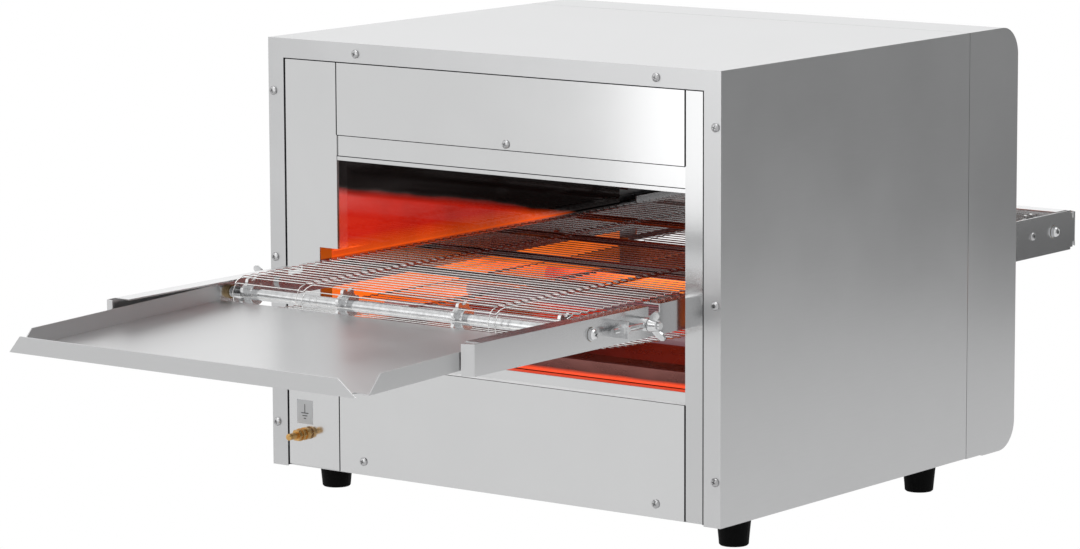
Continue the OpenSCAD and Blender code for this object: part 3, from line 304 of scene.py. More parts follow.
@dataclass(frozen=True)
class SheetSteel:
    """Rolled stainless sheet: fine grain lines, soft clouds and a slow waviness, and inside the chamber a
    painted shade and a painted glow of the heaters.
    """

    name: str
    colour: Colour
    metal: float
    rough: float
    grain: Grain = Grain.ACROSS
    line_depth: float = 0.6e-5
    line_scale: float = 30.0
    line_share: float = 0.35
    mixed_span: Pair = (0.25, 0.75)
    cloud: float = 0.05
    cloud_scale: float = 9.0
    wave_depth: float = 0.0
    wave_scale: float = 6.0
    gloss_factors: Pair = (0.86, 1.14)
    bump_step: float = 1e-5
    # painted shade and painted heater glow for a sheet in the chamber
    heat: PaintedChamberLight | None = None

    def build(self) -> bpy.types.Material:
        """Writes the node material.

        Returns:
            The material.
        """
        g = Graph.material(self.name)
        lines = g.noise(self.line_scale, 3.0, 0.6, self.grain.value)
        cloud = g.noise(self.cloud_scale, 3.0, 0.55)
        mixed = lines * self.line_share + cloud * (1 - self.line_share)
        colour = g.mottle(mixed, self.colour, self.cloud)
        glow = {}
        # painted light: the chamber's painted shade goes into the colour and its painted glow into the
        # emission
        if self.heat:
            colour, light = self.heat.lay(g, colour, cloud)
            glow = {"Emission_Color": light, "Emission_Strength": 1.0}
        height = lines * self.line_depth
        if self.wave_depth:
            height = height + g.noise(self.wave_scale, 1.0, 0.4) * self.wave_depth
        return g.finish(Base_Color=colour, Metallic=self.metal,
                        Roughness=mixed.around(self.rough, self.gloss_factors, self.mixed_span),
                        Normal=g.bump(height * (1 / self.bump_step), self.bump_step), **glow)


@dataclass(frozen=True)
class PlatedSteel:
    """Plated or bare steel of fasteners and wires with a mottled gloss, and painted shade that darkens it
    inside the chamber.
    """

    name: str
    colour: Colour
    rough: float
    metal: float = 1.0
    mottle: float = 0.12
    scale: float = 160.0
    gloss_factors: Pair = (0.8, 1.25)
    pit_depth: float = 2e-5
    # stain is the amount of painted shade inside the chamber
    stain: float = 0.0
    inner_shade_colour: Colour = (0.05, 0.03, 0.028)
    inner_shade_from: Pair = (-0.11, -0.03)

    def build(self) -> bpy.types.Material:
        """Writes the node material.

        Returns:
            The material.
        """
        g = Graph.material(self.name)
        spots = g.noise(self.scale, 3.0, 0.6)
        colour = g.mottle(spots, self.colour, self.mottle)
        # painted shade: the colour goes darker from the mouth into the chamber
        if self.stain:
            inner_shade = g.along(Axis.ALONG).ramp(*self.inner_shade_from, 0.0, self.stain)
            colour = g.blend(inner_shade, colour, self.inner_shade_colour)
        return g.finish(Base_Color=colour, Metallic=self.metal,
                        Roughness=spots.around(self.rough, self.gloss_factors),
                        Normal=g.bump(spots, self.pit_depth, 0.6))


@dataclass(frozen=True)
class Moulding:
    """Moulded plastic, rubber, enamel, film or ceramic with a fine skin texture and a little dust."""

    name: str
    colour: Colour
    rough: float
    skin_scale: float = 900.0
    skin_depth: float = 3e-5
    coat: float = 0.0
    coat_rough: float = 0.12
    dust: float = 0.08
    dust_colour: float = 0.5
    dust_from: Pair = (0.35, 0.75)
    wear_scale: float = 25.0
    shine: float = 0.5
    gloss_factors: Pair = (0.88, 1.1)

    def build(self) -> bpy.types.Material:
        """Writes the node material.

        Returns:
            The material.
        """
        g = Graph.material(self.name)
        skin = g.noise(self.skin_scale)
        wear = g.noise(self.wear_scale, 3.0, 0.6)
        dusty = tuple(c + (self.dust_colour - c) * self.dust for c in self.colour)
        return g.finish(Base_Color=g.blend(wear.ramp(*self.dust_from), self.colour, dusty),
                        Roughness=wear.around(self.rough, self.gloss_factors),
                        Coat_Weight=self.coat, Coat_Roughness=self.coat_rough, Specular_IOR_Level=self.shine,
                        Normal=g.bump(skin, self.skin_depth, 0.5))


@dataclass(frozen=True)
class HotQuartz:
    """Quartz tubes with a faint coil: orange in the middle, deep red at the ends, and unlit in front."""

    name: str
    glow: Colour
    cool: Colour
    strength: float
    glass: Colour = (0.3, 0.2, 0.2)
    half_length: float = 0.198
    middle: float = 0.0095
    fade: Pair = (0.45, 0.95)
    lit_from: Pair = (0.13, 0.2)
    unlit: Colour = (0.09, 0.05, 0.06)
    coil_scale: float = 130.0
    coil_dip: float = 0.86
    patch_scale: float = 14.0
    patch_dip: float = 0.7

    def build(self) -> bpy.types.Material:
        """Writes the node material.

        Returns:
            The material.
        """
        g = Graph.material(self.name)
        away = abs(g.along(Axis.ACROSS) - self.middle)
        heat = away.ramp(self.half_length * self.fade[0], self.half_length * self.fade[1], 1.0, 0.0)
        coils = g.node("ShaderNodeTexWave", {"wave_type": "BANDS", "bands_direction": "X"},
                       {"Vector": g.where(), "Scale": self.coil_scale})
        coiled = coils.ramp(0.2, 0.8, self.coil_dip, 1.0)
        patchy = g.noise(self.patch_scale).ramp(0.3, 0.6, self.patch_dip, 1.0)
        lit = g.blend(heat * coiled * patchy, self.cool, self.glow)
        shown = g.blend(g.along(Axis.ALONG).ramp(*self.lit_from), self.unlit, lit)
        return g.finish(Base_Color=(*self.glass, 1.0), Roughness=0.15,
                        Emission_Color=shown, Emission_Strength=self.strength)


@dataclass(frozen=True)
class PaintedGlowPlate:
    """Heat-tinted plate with a painted glow of the heaters' light, full at the hot end of one axis and dull
    at the cold end.
    """

    name: str
    colour: Colour
    glow: Colour
    hot: float
    cold: float
    axis: Axis
    dull: Colour = (0.02, 0.002, 0.001)
    metal: float = 0.85
    rough: Pair = (0.22, 0.34)
    mottle: float = 0.2
    stain_scale: float = 30.0
    ripple: float = 2 * MM

    def build(self) -> bpy.types.Material:
        """Writes the node material.

        Returns:
            The material.
        """
        g = Graph.material(self.name)
        stain = g.noise(self.stain_scale, 3.0, stretch=(1.0, 1.0, 3.0))
        ends = sorted((self.hot, self.cold))
        heat = [1.0, 0.0] if self.hot < self.cold else [0.0, 1.0]
        # painted light: the glow goes from dull at the cold end to full at the hot end
        level = (g.along(self.axis) + stain * self.ripple).ramp(*ends, *heat)
        return g.finish(Base_Color=g.mottle(stain, self.colour, self.mottle), Metallic=self.metal,
                        Roughness=stain.ramp(*SPREAD, *self.rough),
                        Emission_Color=g.blend(level, self.dull, self.glow), Emission_Strength=1.0)


def bright_sheet(name: str, colour: Colour, heat: PaintedChamberLight | None = None) -> SheetSteel:
    """Mirror-bright end sheet with upright grain and slow waves, and the painted chamber shade and glow where
    one is given.
    """
    return SheetSteel(name, colour, 0.95, 0.13, Grain.UPRIGHT, line_depth=0.2e-5, cloud=0.02,
                      wave_depth=4e-4, wave_scale=3.0, heat=heat)


@dataclass
class Palette:
    """Every finish of the oven, written once and shared."""

    cover: SheetSteel = SheetSteel("satin_cover_steel", (0.53, 0.532, 0.536), 0.9, 0.34, Grain.ALONG)
    bright: SheetSteel = bright_sheet("bright_sheet_steel", (0.6, 0.602, 0.605))
    # painted light: the left end post gets the chamber's painted shade and glow behind its front line
    post: SheetSteel = bright_sheet("end_post_steel", (0.6, 0.602, 0.605), PaintedChamberLight(0.9, front=-0.111))
    # painted shade: the right end post is a darker copy of the end post steel
    painted_shade_post: SheetSteel = bright_sheet("painted_shade_post_steel", (0.53, 0.532, 0.535))
    tray: SheetSteel = SheetSteel("tray_sheet_steel", (0.54, 0.542, 0.545), 0.92, 0.31, Grain.ACROSS,
                                  line_depth=0.1e-5, cloud=0.02, wave_depth=1.5e-4, wave_scale=3.0)
    rail: SheetSteel = SheetSteel("rail_sheet_steel", (0.57, 0.571, 0.575), 0.92, 0.2, Grain.ALONG,
                                  cloud=0.03)
    # painted light: the chamber liner gets painted shade at the top and a painted heater glow below
    chamber: SheetSteel = SheetSteel("chamber_sheet_steel", (0.42, 0.34, 0.32), 1.0, 0.07, Grain.ALONG,
                                     line_depth=0.1e-5, wave_depth=2e-4, wave_scale=4.0,
                                     heat=PaintedChamberLight(0.93))
    trough: SheetSteel = SheetSteel("reflector_sheet_steel", (0.6, 0.5, 0.47), 1.0, 0.12, Grain.ACROSS,
                                    line_depth=0.2e-5, cloud=0.08, wave_depth=3e-4, wave_scale=9.0)
    # painted light: the lower reflector glows dim red towards the rear
    trough_painted_glow: PaintedGlowPlate = PaintedGlowPlate("reflector_steel_painted_glow", (0.2, 0.13, 0.125), (0.2, 0.015, 0.004),
                                    0.26, 0.15, Axis.ALONG)
    # heat tint and painted light: a dark tinted strip with an orange glow painted over its lower part
    heat_tint_and_painted_glow: PaintedGlowPlate = PaintedGlowPlate("heat_tinted_steel_painted_glow", (0.2, 0.085, 0.075), (1.0, 0.07, 0.012),
                               0.1355, 0.1385, Axis.UP)
    # painted shade: the belt wire goes dark inside the chamber
    wire: PlatedSteel = PlatedSteel("belt_wire_steel", (0.7, 0.698, 0.69), 0.26, mottle=0.1, stain=0.8)
    zinc: PlatedSteel = PlatedSteel("zinc_plating", (0.6, 0.605, 0.61), 0.2)
    screw: PlatedSteel = PlatedSteel("screw_steel", (0.4, 0.4, 0.405), 0.2)
    tie: PlatedSteel = PlatedSteel("tie_bar_steel", (0.12, 0.09, 0.085), 0.3)
    chain: PlatedSteel = PlatedSteel("oiled_chain_steel", (0.1, 0.1, 0.105), 0.32)
    bronze: PlatedSteel = PlatedSteel("sintered_bronze", (0.36, 0.26, 0.14), 0.4)
    brass: PlatedSteel = PlatedSteel("turned_brass", (0.55, 0.33, 0.12), 0.3, mottle=0.25)
    rubber: Moulding = Moulding("foot_rubber", (0.003, 0.003, 0.003), 0.7, 600.0, dust=0.004, shine=0.06)
    # painted shadow: near-black strips laid along the joints stand in for the shade in the gaps
    gap: Moulding = Moulding("painted_joint_shadow", (0.01, 0.01, 0.011), 0.8, dust=0.0, shine=0.05)
    black: Moulding = Moulding("black_moulding", (0.02, 0.02, 0.022), 0.4)
    red: Moulding = Moulding("red_moulding", (0.42, 0.02, 0.015), 0.2, coat=0.4)
    amber: Moulding = Moulding("amber_lens", (0.75, 0.28, 0.02), 0.12, coat=0.6)
    fascia: Moulding = Moulding("fascia_enamel", (0.022, 0.022, 0.024), 0.34, 1400.0)
    enamel: Moulding = Moulding("grey_enamel", (0.09, 0.095, 0.1), 0.35)
    ceramic: Moulding = Moulding("fired_ceramic", (0.72, 0.69, 0.62), 0.6, 500.0)
    blanket: Moulding = Moulding("fibre_blanket", (0.62, 0.6, 0.52), 0.95, 260.0, 6e-4)
    pale: Moulding = Moulding("natural_moulding", (0.65, 0.62, 0.54), 0.45)
    film: Moulding = Moulding("label_film", (0.72, 0.72, 0.72), 0.4, 300.0, 1e-5)
    ink: Moulding = Moulding("printed_ink", (0.03, 0.03, 0.03), 0.5)
    print: Moulding = Moulding("pale_print", (0.75, 0.75, 0.73), 0.5)
    quartz: HotQuartz = HotQuartz("hot_quartz", (1.0, 0.27, 0.03), (0.5, 0.02, 0.004), 1.35)
    made: dict[str, bpy.types.Material] = field(default_factory=dict)

    def get(self, name: str) -> bpy.types.Material:
        """The material of a finish, made the first time it is asked for.

        Args:
            name: the finish's field above.

        Returns:
            The material.
        """
        if name not in self.made:
            self.made[name] = getattr(self, name).build()
        return self.made[name]


# --------------------------------------------------------------------------- mesh making
BOX_FACES = np.array([[0, 3, 2, 1], [4, 5, 6, 7], [0, 1, 5, 4], [1, 2, 6, 5], [2, 3, 7, 6], [3, 0, 4, 7]])


def mesh_piece(name: str, verts: Array, faces: Array, material: bpy.types.Material, body: str,
               smooth: bool = True) -> bpy.types.Object:
    """Turns arrays into a finished piece on a body.

    Args:
        name: the piece's name.
        verts: places in metres, three numbers each.
        faces: (m, 4) vertex numbers.
        material: its finish.
        body: the body that it rides on.
        smooth: whether faces are shaded smooth.

    Returns:
        The object.
    """
    mesh = bpy.data.meshes.new(name)
    mesh.from_pydata(verts.reshape(-1, 3).tolist(), [], faces.tolist())
    mesh.polygons.foreach_set("use_smooth", np.full(len(mesh.polygons), smooth))
    mesh.validate()
    piece = bpy.data.objects.new(name, mesh)
    bpy.context.collection.objects.link(piece)
    mesh.materials.append(material)
    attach(piece, body)
    log.info("%s: %d faces", name, len(faces))
    return piece


def box_piece(name: str, boxes: Array, material: bpy.types.Material, body: str) -> bpy.types.Object:
    """One piece of many thin boxes, each given by its eight corners.

    Args:
        name: the piece's name.
        boxes: (n, 8, 3) corners in metres, four round one face and the four across from them.
        material: its finish.
        body: the body that it rides on.

    Returns:
        The object.
    """
    first = (np.arange(len(boxes)) * boxes.shape[1])[:, None, None]
    return mesh_piece(name, boxes, (BOX_FACES[None] + first).reshape(-1, 4), material, body, False)


def tube_faces(rings: int, sides: int) -> Array:
    """Quads of a tube, each between two neighbours on one ring and the same two on the next.

    Args:
        rings: how many rings the tube has.
        sides: how many vertices lie on a ring.

    Returns:
        (m, 4) vertex numbers, counted ring by ring.
    """
    ring = np.arange(rings - 1)[:, None] * sides
    here = np.arange(sides)[None, :]
    after = (here + 1) % sides
    return np.stack([ring + here, ring + after, ring + sides + after, ring + sides + here], -1).reshape(-1, 4)


def tubes(paths: Array, radius: float, sides: int) -> tuple[Array, Array]:
    """Round wires along many paths at once.

    At each point the ring is radius * (cos a * side + sin a * up), where side is the cross product of the
    path's direction with a fixed lean vector and up completes the frame. Each end is closed by a ring
    drawn in to the path.

    Args:
        paths: (strands, points, 3) centre lines.
        radius: the wire's radius.
        sides: faces round the wire.

    Returns:
        Vertices and quads.
    """
    strands, points, _ = paths.shape
    run = np.gradient(paths, axis=1)
    run /= np.linalg.norm(run, axis=2, keepdims=True) + 1e-12
    lean = np.array([0.31, 0.23, 0.92])
    side = np.cross(run, lean)
    side /= np.linalg.norm(side, axis=2, keepdims=True)
    up = np.cross(side, run)
    a = np.arange(sides) * 2 * math.pi / sides
    ring = radius * (np.cos(a)[:, None] * side[:, :, None, :] + np.sin(a)[:, None] * up[:, :, None, :])
    drawn_in = 0.02
    first, last = (paths[:, [i], None, :] + ring[:, [i]] * drawn_in for i in (0, -1))
    verts = np.concatenate([first, paths[:, :, None, :] + ring, last], axis=1)
    rings = points + 2
    start = (np.arange(strands) * rings * sides)[:, None, None]
    return verts.reshape(-1, 3), (tube_faces(rings, sides)[None] + start).reshape(-1, 4)


# --------------------------------------------------------------------------- the oven
@dataclass
class Placing:
    """The frame's own sizes in metres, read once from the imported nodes."""

    conveyor_x: float = 9.5 * MM

    def __post_init__(self) -> None:
        """Reads where the shafts, the belt and the cover lie."""
        low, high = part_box("idler_shaft")
        self.idler_y, self.shaft_z = (low[1] + high[1]) / 2, (low[2] + high[2]) / 2
        low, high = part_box("drive_shaft")
        self.drive_y = (low[1] + high[1]) / 2
        low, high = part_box("belt_top_run")
        self.belt_half = (high[0] - low[0]) / 2
        self.pitch_radius = (low[2] + high[2]) / 2 - self.shaft_z
        low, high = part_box("outer_cover")
        self.front, self.under = low[1], low[2]
        self.half_width, self.height = (high[0] - low[0]) / 2, high[2] - low[2]

    def boxes(self, spans: list[tuple[float, ...]]) -> Array:
        """Corners of boxes that are set out from the cover's front lower edge.

        Args:
            spans: one (x0, x1, y0, y1, z0, z1) in mm for each box.

        Returns:
            (n, 8, 3) corners in metres.
        """
        round_one_face = ((0, 2), (1, 2), (1, 3), (0, 3))
        pick = np.array([[x, y, z] for z in (4, 5) for x, y in round_one_face])
        return (np.array(spans, float) * MM)[:, pick] + [0.0, self.front, self.under]


@dataclass
class WireBelt:
    """The endless belt of bent cross wires, each hooked round its neighbour at four link lines."""

    links: int = 68
    turn_links: int = 4
    wire: float = 0.45 * MM
    sides: int = 6
    hook: float = 1.3 * MM
    rise: float = 1.15 * MM
    jog: float = 3.6 * MM
    inner: float = 103.5 * MM
    sag: float = 10.5 * MM

    def edge_hook(self, half: float, pitch: float) -> list[Triple]:
        """The hook at the left edge, from its tip over the next wire to the straight wire.

        Args:
            half: half of the belt's width.
            pitch: the distance between wires.

        Returns:
            Points as (across, along, up).
        """
        reach, top = pitch + self.hook, self.rise
        return [(1.2 * MM - half, reach, top * 0.2), (1.1 * MM - half, reach, top),
                (1.0 * MM - half, pitch * 0.75, top * 0.8), (1.0 * MM - half, pitch * 0.35, top * 0.1),
                (1.3 * MM - half, 0.9 * MM, 0), (2.4 * MM - half, 0, 0)]

    def link_jog(self, x: float, pitch: float) -> list[Triple]:
        """The jog at an inner link line, one pitch along the belt and back, over the next wire.

        Args:
            x: the link line's place across the belt.
            pitch: the distance between wires.

        Returns:
            Points as (across, along, up).
        """
        w, reach, top = self.jog, pitch + self.hook, self.rise
        one_side = [(w + 6 * MM, 0, 0), (w + 1.2 * MM, 0, 0), (w, 1.2 * MM, 0), (w, pitch * 0.7, top * 0.5),
                    (w - 0.4 * MM, reach - 0.8 * MM, top), (w - 1.3 * MM, reach, top)]
        return [(x - u, s, h) for u, s, h in one_side] + [(x + u, s, h) for u, s, h in reversed(one_side)]

    def strand(self, half: float, pitch: float) -> Array:
        """One cross wire.

        The wire runs straight across; at each inner link line it jogs one pitch along the belt and back, and
        at each edge it ends in a hook, so that every jog and hook lies over the next wire.

        Args:
            half: half of the belt's width.
            pitch: the distance between wires.

        Returns:
            (points, 3) places as (across, along, up).
        """
        left = self.edge_hook(half, pitch)
        right = [(-x, s, h) for x, s, h in reversed(left)]
        return np.array(left + self.link_jog(-self.inner, pitch) + self.link_jog(self.inner, pitch) + right)

    def lay(self, at: Placing, shape: Array, numbers: Array) -> Array:
        """Carries the strand shape to its places round the loop.

        A distance s from the top strand over the drive shaft runs down round that shaft, back along the
        lower run, up round the idler shaft and forward along the upper run. The lower run hangs by
        sag * (1 - (2 u - 1)^4), where u runs from 0 to 1 between the shafts.

        Args:
            at: the frame's sizes.
            shape: one strand's points.
            numbers: the strands' numbers round the loop.

        Returns:
            (strands, points, 3) places.
        """
        pitch = (at.drive_y - at.idler_y) / self.links
        turn = self.turn_links * pitch
        straight = self.links * pitch
        s = np.mod(numbers[:, None] * pitch - shape[None, :, 1], 2 * (turn + straight))
        r = at.pitch_radius + shape[None, :, 2]
        on_drive = s < turn
        on_low = (s >= turn) & (s < turn + straight)
        on_idler = (s >= turn + straight) & (s < 2 * turn + straight)
        a = np.where(on_drive, math.pi / 2 - s / turn * math.pi,
                     -math.pi / 2 - (s - turn - straight) / turn * math.pi)
        y = np.select([on_drive, on_low, on_idler],
                      [at.drive_y + r * np.cos(a), at.drive_y - (s - turn), at.idler_y + r * np.cos(a)],
                      at.idler_y + (s - 2 * turn - straight))
        slack = self.sag * (1 - (2 * (s - turn) / straight - 1) ** 4)
        z = np.select([on_drive | on_idler, on_low], [r * np.sin(a), -r - slack], r)
        x = np.broadcast_to(shape[None, :, 0] + at.conveyor_x, y.shape)
        return np.stack([x, y, at.shaft_z + z], -1)

    def build(self, at: Placing, palette: Palette) -> None:
        """Makes the belt and stands it in for the plain runs and turns.

        Args:
            at: the frame's sizes.
            palette: the finishes.
        """
        pitch = (at.drive_y - at.idler_y) / self.links
        count = 2 * (self.links + self.turn_links)
        shape = self.strand(at.belt_half, pitch)
        verts, faces = tubes(self.lay(at, shape, np.arange(count)), self.wire, self.sides)
        piece = mesh_piece("wire_belt", verts, faces, palette.get("wire"), "oven")
        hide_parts("belt_top_run", "belt_bottom_run", "belt_turns")


@dataclass
class Trim:
    """Painted shadow lines at the joints between the sheets, the trough's front and the bonding label, in mm.

    Places are counted from the middle of the cover's lower front edge. Each face is how far behind the
    cover's front a line or label starts and ends.
    """

    flange: float = 17.3
    left_post: float = -168.5
    right_post: float = 208.0
    panel_low: float = 302.5
    sill: float = 100.7
    foot: float = 1.6
    cover_foot: float = 1.0
    baffle_shadow_line: Pair = (283.4, 284.0)
    cover_lines: Triple = (1.0, 1.8, 1.1)
    left_post_line: Pair = (-0.4, 0.4)
    right_post_line: Pair = (-0.9, 0.5)
    end_gap: float = 0.5
    panel_line: float = 0.7
    sill_line: float = 0.2
    line_face: Pair = (0.95, 1.2)
    panel_face: Pair = (1.3, 2.1)
    sill_face: Pair = (0.95, 1.25)
    baffle_face: Pair = (2.35, 2.5)
    trough: tuple[float, ...] = (-186.5, 205.5, 38.4, 39.2, 106.9, 120.6)
    label_x: float = -208.4
    label_z: float = 50.8
    label_half: Pair = (9.1, 10.8)
    label_face: Pair = (1.05, 1.2)
    sign_face: Pair = (0.98, 1.06)
    sign_upright: Pair = (-1.0, 7.0)
    sign_bars: tuple[Pair, ...] = ((4.2, -1.1), (2.8, -3.5), (1.3, -5.9))
    stroke_half: float = 0.4

    def between_posts(self) -> Pair:
        """From the left post to the right one, less a small gap at each."""
        return self.left_post + self.end_gap, self.right_post - self.end_gap

    def post_shadow_lines(self, top: float) -> list[tuple[float, ...]]:
        """The painted shadow line of each post, beside the upper panel and beside the lower one.

        Args:
            top: where the upper panel ends.

        Returns:
            One box in mm for each line.
        """
        lines = []
        for post, line in ((self.left_post, self.left_post_line), (self.right_post, self.right_post_line)):
            for span in ((self.panel_low, top), (self.foot, self.sill)):
                lines.append((post + line[0], post + line[1], *self.line_face, *span))
        return lines

    def joints(self, at: Placing) -> list[tuple[float, ...]]:
        """The painted shadow lines at the joints of the cover, both posts, the upper panel and the sill.

        Args:
            at: the frame's sizes.

        Returns:
            One box in mm for each line.
        """
        top, side = at.height / MM - self.flange, at.half_width / MM - self.flange
        ends, (left, right, over) = self.between_posts(), self.cover_lines
        return [(-side, -side + left, *self.line_face, self.cover_foot, top),
                (side - right, side, *self.line_face, self.cover_foot, top),
                (-side, side, *self.line_face, top - over, top), *self.post_shadow_lines(top),
                (*ends, *self.panel_face, self.panel_low - self.panel_line, self.panel_low),
                (*ends, *self.sill_face, self.sill - self.sill_line, self.sill + self.sill_line)]

    def bonding_sign(self) -> list[tuple[float, ...]]:
        """The sign's upright and its three bars, each shorter than the one above it.

        Returns:
            One box in mm for each stroke.
        """
        x, z, half, face = self.label_x, self.label_z, self.stroke_half, self.sign_face
        low, high = self.sign_upright
        return [(x - half, x + half, *face, z + low, z + high),
                *[(x - w, x + w, *face, z + up - half, z + up + half) for w, up in self.sign_bars]]

    def build(self, at: Placing, palette: Palette) -> None:
        """Makes the painted shadow lines at the joints, the trough's front with its painted glow, and the
        label.

        Args:
            at: the frame's sizes.
            palette: the finishes.
        """
        x, z, (half_x, half_z) = self.label_x, self.label_z, self.label_half
        under_baffle = (*self.between_posts(), *self.baffle_face, *self.baffle_shadow_line)
        label = (x - half_x, x + half_x, *self.label_face, z - half_z, z + half_z)
        for name, spans, finish, body, slot in (
                # painted shadow lines along the joints and under the baffle
                ("joint_shadow_lines", self.joints(at), "gap", "oven", "black_plastic"),
                ("baffle_shadow_line", [under_baffle], "gap", "exit_gate", "black_plastic"),
                # the trough's front strip carries a painted orange glow
                ("trough_front", [self.trough], "heat_tint_and_painted_glow", "oven", "bright_steel"),
                ("earth_label", [label], "film", "oven", "pale_plastic"),
                ("earth_mark", self.bonding_sign(), "ink", "oven", "black_plastic")):
            box_piece(name, at.boxes(spans), palette.get(finish), body)


@dataclass
class FasciaMarks:
    """Printed scales round the knobs, with plain numbers, and on and off marks at the rocker, in mm."""

    sweep: float = 270.0
    ticks: int = 24
    ticks_a_number: int = 4
    near: float = 21.5
    far: float = 24.5
    minor_far: float = 22.9
    number_radius: float = 29.5
    number_half: Pair = (1.3, 2.2)
    stroke: float = 0.5
    major_stroke: float = 0.7
    minor_stroke: float = 0.4
    on_stroke: float = 0.6
    thick: float = 0.12
    lift: float = 0.02
    mark_gap: float = 5.0
    ring_radius: float = 2.0
    ring_sides: int = 16
    strokes: dict[str, str] = field(default_factory=lambda: {
        "0": "abcdef", "1": "bc", "2": "abged", "3": "abgcd", "4": "fgbc", "5": "afgcd", "6": "afgecd"})

    def __post_init__(self) -> None:
        """Reads where the control plate's rear face lies."""
        self.plate_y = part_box("control_fascia")[1][1] / MM + self.lift

    def bar(self, a: Array | Pair, b: Array | Pair, width: float) -> Array:
        """A thin bar on the plate: the line from a to b moved half a width to each side.

        Args:
            a: one end, across and up.
            b: the other end.
            width: the bar's width.

        Returns:
            (8, 3) corners, the four on the plate first.
        """
        p, q = np.array(a, float), np.array(b, float)
        run = (q - p) / np.linalg.norm(q - p)
        n = np.array([-run[1], run[0]]) * width / 2
        flat = np.array([p - n, q - n, q + n, p + n])
        low = np.column_stack([flat[:, 0], np.full(4, self.plate_y), flat[:, 1]])
        return np.concatenate([low, low + [0, self.thick, 0]])

    def number(self, text: str, centre: Array) -> list[Array]:
        """Bars of one figure, read from behind the oven, with the seven strokes of a plain counter.

        Args:
            text: the figure.
            centre: its middle, across and up.

        Returns:
            The bars' corners.
        """
        w, h = self.number_half
        ends = {"a": ((-w, h), (w, h)), "b": ((w, h), (w, 0)), "c": ((w, 0), (w, -h)),
                "d": ((-w, -h), (w, -h)), "e": ((-w, 0), (-w, -h)), "f": ((-w, h), (-w, 0)),
                "g": ((-w, 0), (w, 0))}
        placed = [[(centre[0] - u, centre[1] + v) for u, v in ends[key]] for key in self.strokes[text]]
        return [self.bar(a, b, self.stroke) for a, b in placed]

    def scale(self, name: str) -> list[Array]:
        """Ticks and numbers round one knob.

        Tick i stands at 90 + sweep / 2 - sweep * i / ticks degrees as seen from behind the oven, so its
        place across is minus the cosine and its place up is the sine.

        Args:
            name: the knob's node.

        Returns:
            The bars' corners.
        """
        low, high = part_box(name)
        centre = np.array([(low[0] + high[0]) / 2, (low[2] + high[2]) / 2]) / MM
        bars = []
        for i in range(self.ticks + 1):
            a = math.radians(90 + self.sweep / 2 - self.sweep * i / self.ticks)
            way = np.array([-math.cos(a), math.sin(a)])
            major = i % self.ticks_a_number == 0
            far, width = (self.far, self.major_stroke) if major else (self.minor_far, self.minor_stroke)
            bars.append(self.bar(centre + way * self.near, centre + way * far, width))
            if major:
                bars += self.number(str(i // self.ticks_a_number), centre + way * self.number_radius)
        return bars

    def rocker_marks(self) -> list[Array]:
        """A stroke over the rocker for on, and a ring below it for off.

        Returns:
            The bars' corners.
        """
        low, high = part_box("switch_frame")
        x, half = (low[0] + high[0]) / 2 / MM, self.number_half[1]
        top, base = high[2] / MM + self.mark_gap, low[2] / MM - self.mark_gap
        ring = [(x + self.ring_radius * math.cos(t), base + self.ring_radius * math.sin(t))
                for t in np.arange(self.ring_sides + 1) * 2 * math.pi / self.ring_sides]
        return [self.bar((x, top - half), (x, top + half), self.on_stroke),
                *[self.bar(p, q, self.stroke) for p, q in zip(ring, ring[1:])]]

    def build(self, palette: Palette) -> None:
        """Prints the marks on the control plate.

        Args:
            palette: the finishes.
        """
        bars = []
        for name in ("knob_upper_heat", "knob_lower_heat", "knob_belt_speed"):
            bars += self.scale(name)
        bars += self.rocker_marks()
        box_piece("fascia_marks", np.array(bars) * MM, palette.get("print"), "oven")


@dataclass
class Dressing:
    """Gives each CAD node its finish."""

    finishes: dict[str, list[str]] = field(default_factory=lambda: {
        "cover": ["outer_cover", "base_pan", "control_housing", "motor_bracket", "chain_guard"],
        # the right end post takes the darker, painted shade copy of the end post steel
        "post": ["left_end_post"], "painted_shade_post": ["right_end_post"],
        "bright": ["upper_end_panel", "lower_end_panel", "exit_baffle", "entry_baffle"],
        "rail": ["conveyor_rail_left", "conveyor_rail_right", "extension_rail_left", "extension_rail_right",
                 "entry_end_frame"],
        "tray": ["catch_tray"], "chamber": ["chamber_liner"],
        "trough": ["upper_reflector"], "trough_painted_glow": ["lower_reflector"],
        "quartz": ["upper_heaters", "lower_heaters"],
        "screw": ["casing_screws", "frame_screws", "rail_spacers", "entry_screws"],
        "tie": ["rail_ties"],
        "zinc": ["tray_rest_rods", "belt_tensioners", "clamp_studs", "wing_nut_left", "wing_nut_right",
                 "idler_shaft", "idler_sprockets", "drive_shaft", "drive_sprockets", "driven_sprocket",
                 "motor_sprocket", "motor_shaft"],
        "chain": ["drive_chain"], "bronze": ["shaft_bushes"], "brass": ["earth_terminal"], "rubber": ["feet"],
        "black": ["knob_upper_heat", "knob_lower_heat", "knob_belt_speed", "switch_frame", "cable_gland"],
        "red": ["power_rocker"], "amber": ["pilot_lights"], "fascia": ["control_fascia"],
        "enamel": ["gear_motor", "heat_regulators"], "ceramic": ["heater_end_caps"],
        "blanket": ["liner_insulation"], "pale": ["terminal_block"]})

    def build(self, nodes: dict[str, bpy.types.Object], palette: Palette) -> None:
        """Assigns the finishes to the nodes' material slots.

        Args:
            nodes: the frame's nodes by name.
            palette: the finishes.
        """
        for finish, names in self.finishes.items():
            material = palette.get(finish)
            for name in names:
                slots = nodes[name].data.materials
                if len(slots):
                    slots[0] = material
                else:
                    slots.append(material)
            log.info("%s: %d nodes", finish, len(names))


# --------------------------------------------------------------------------- the studio
HEAT_RED: Colour = (1.0, 0.05, 0.012)


def standing_at(axes: Array, place: Triple) -> Matrix:
    """Matrix whose first three columns are the axes and whose last is the place."""
    return Matrix([[*axes[i], place[i]] for i in range(3)] + [[0, 0, 0, 1]])


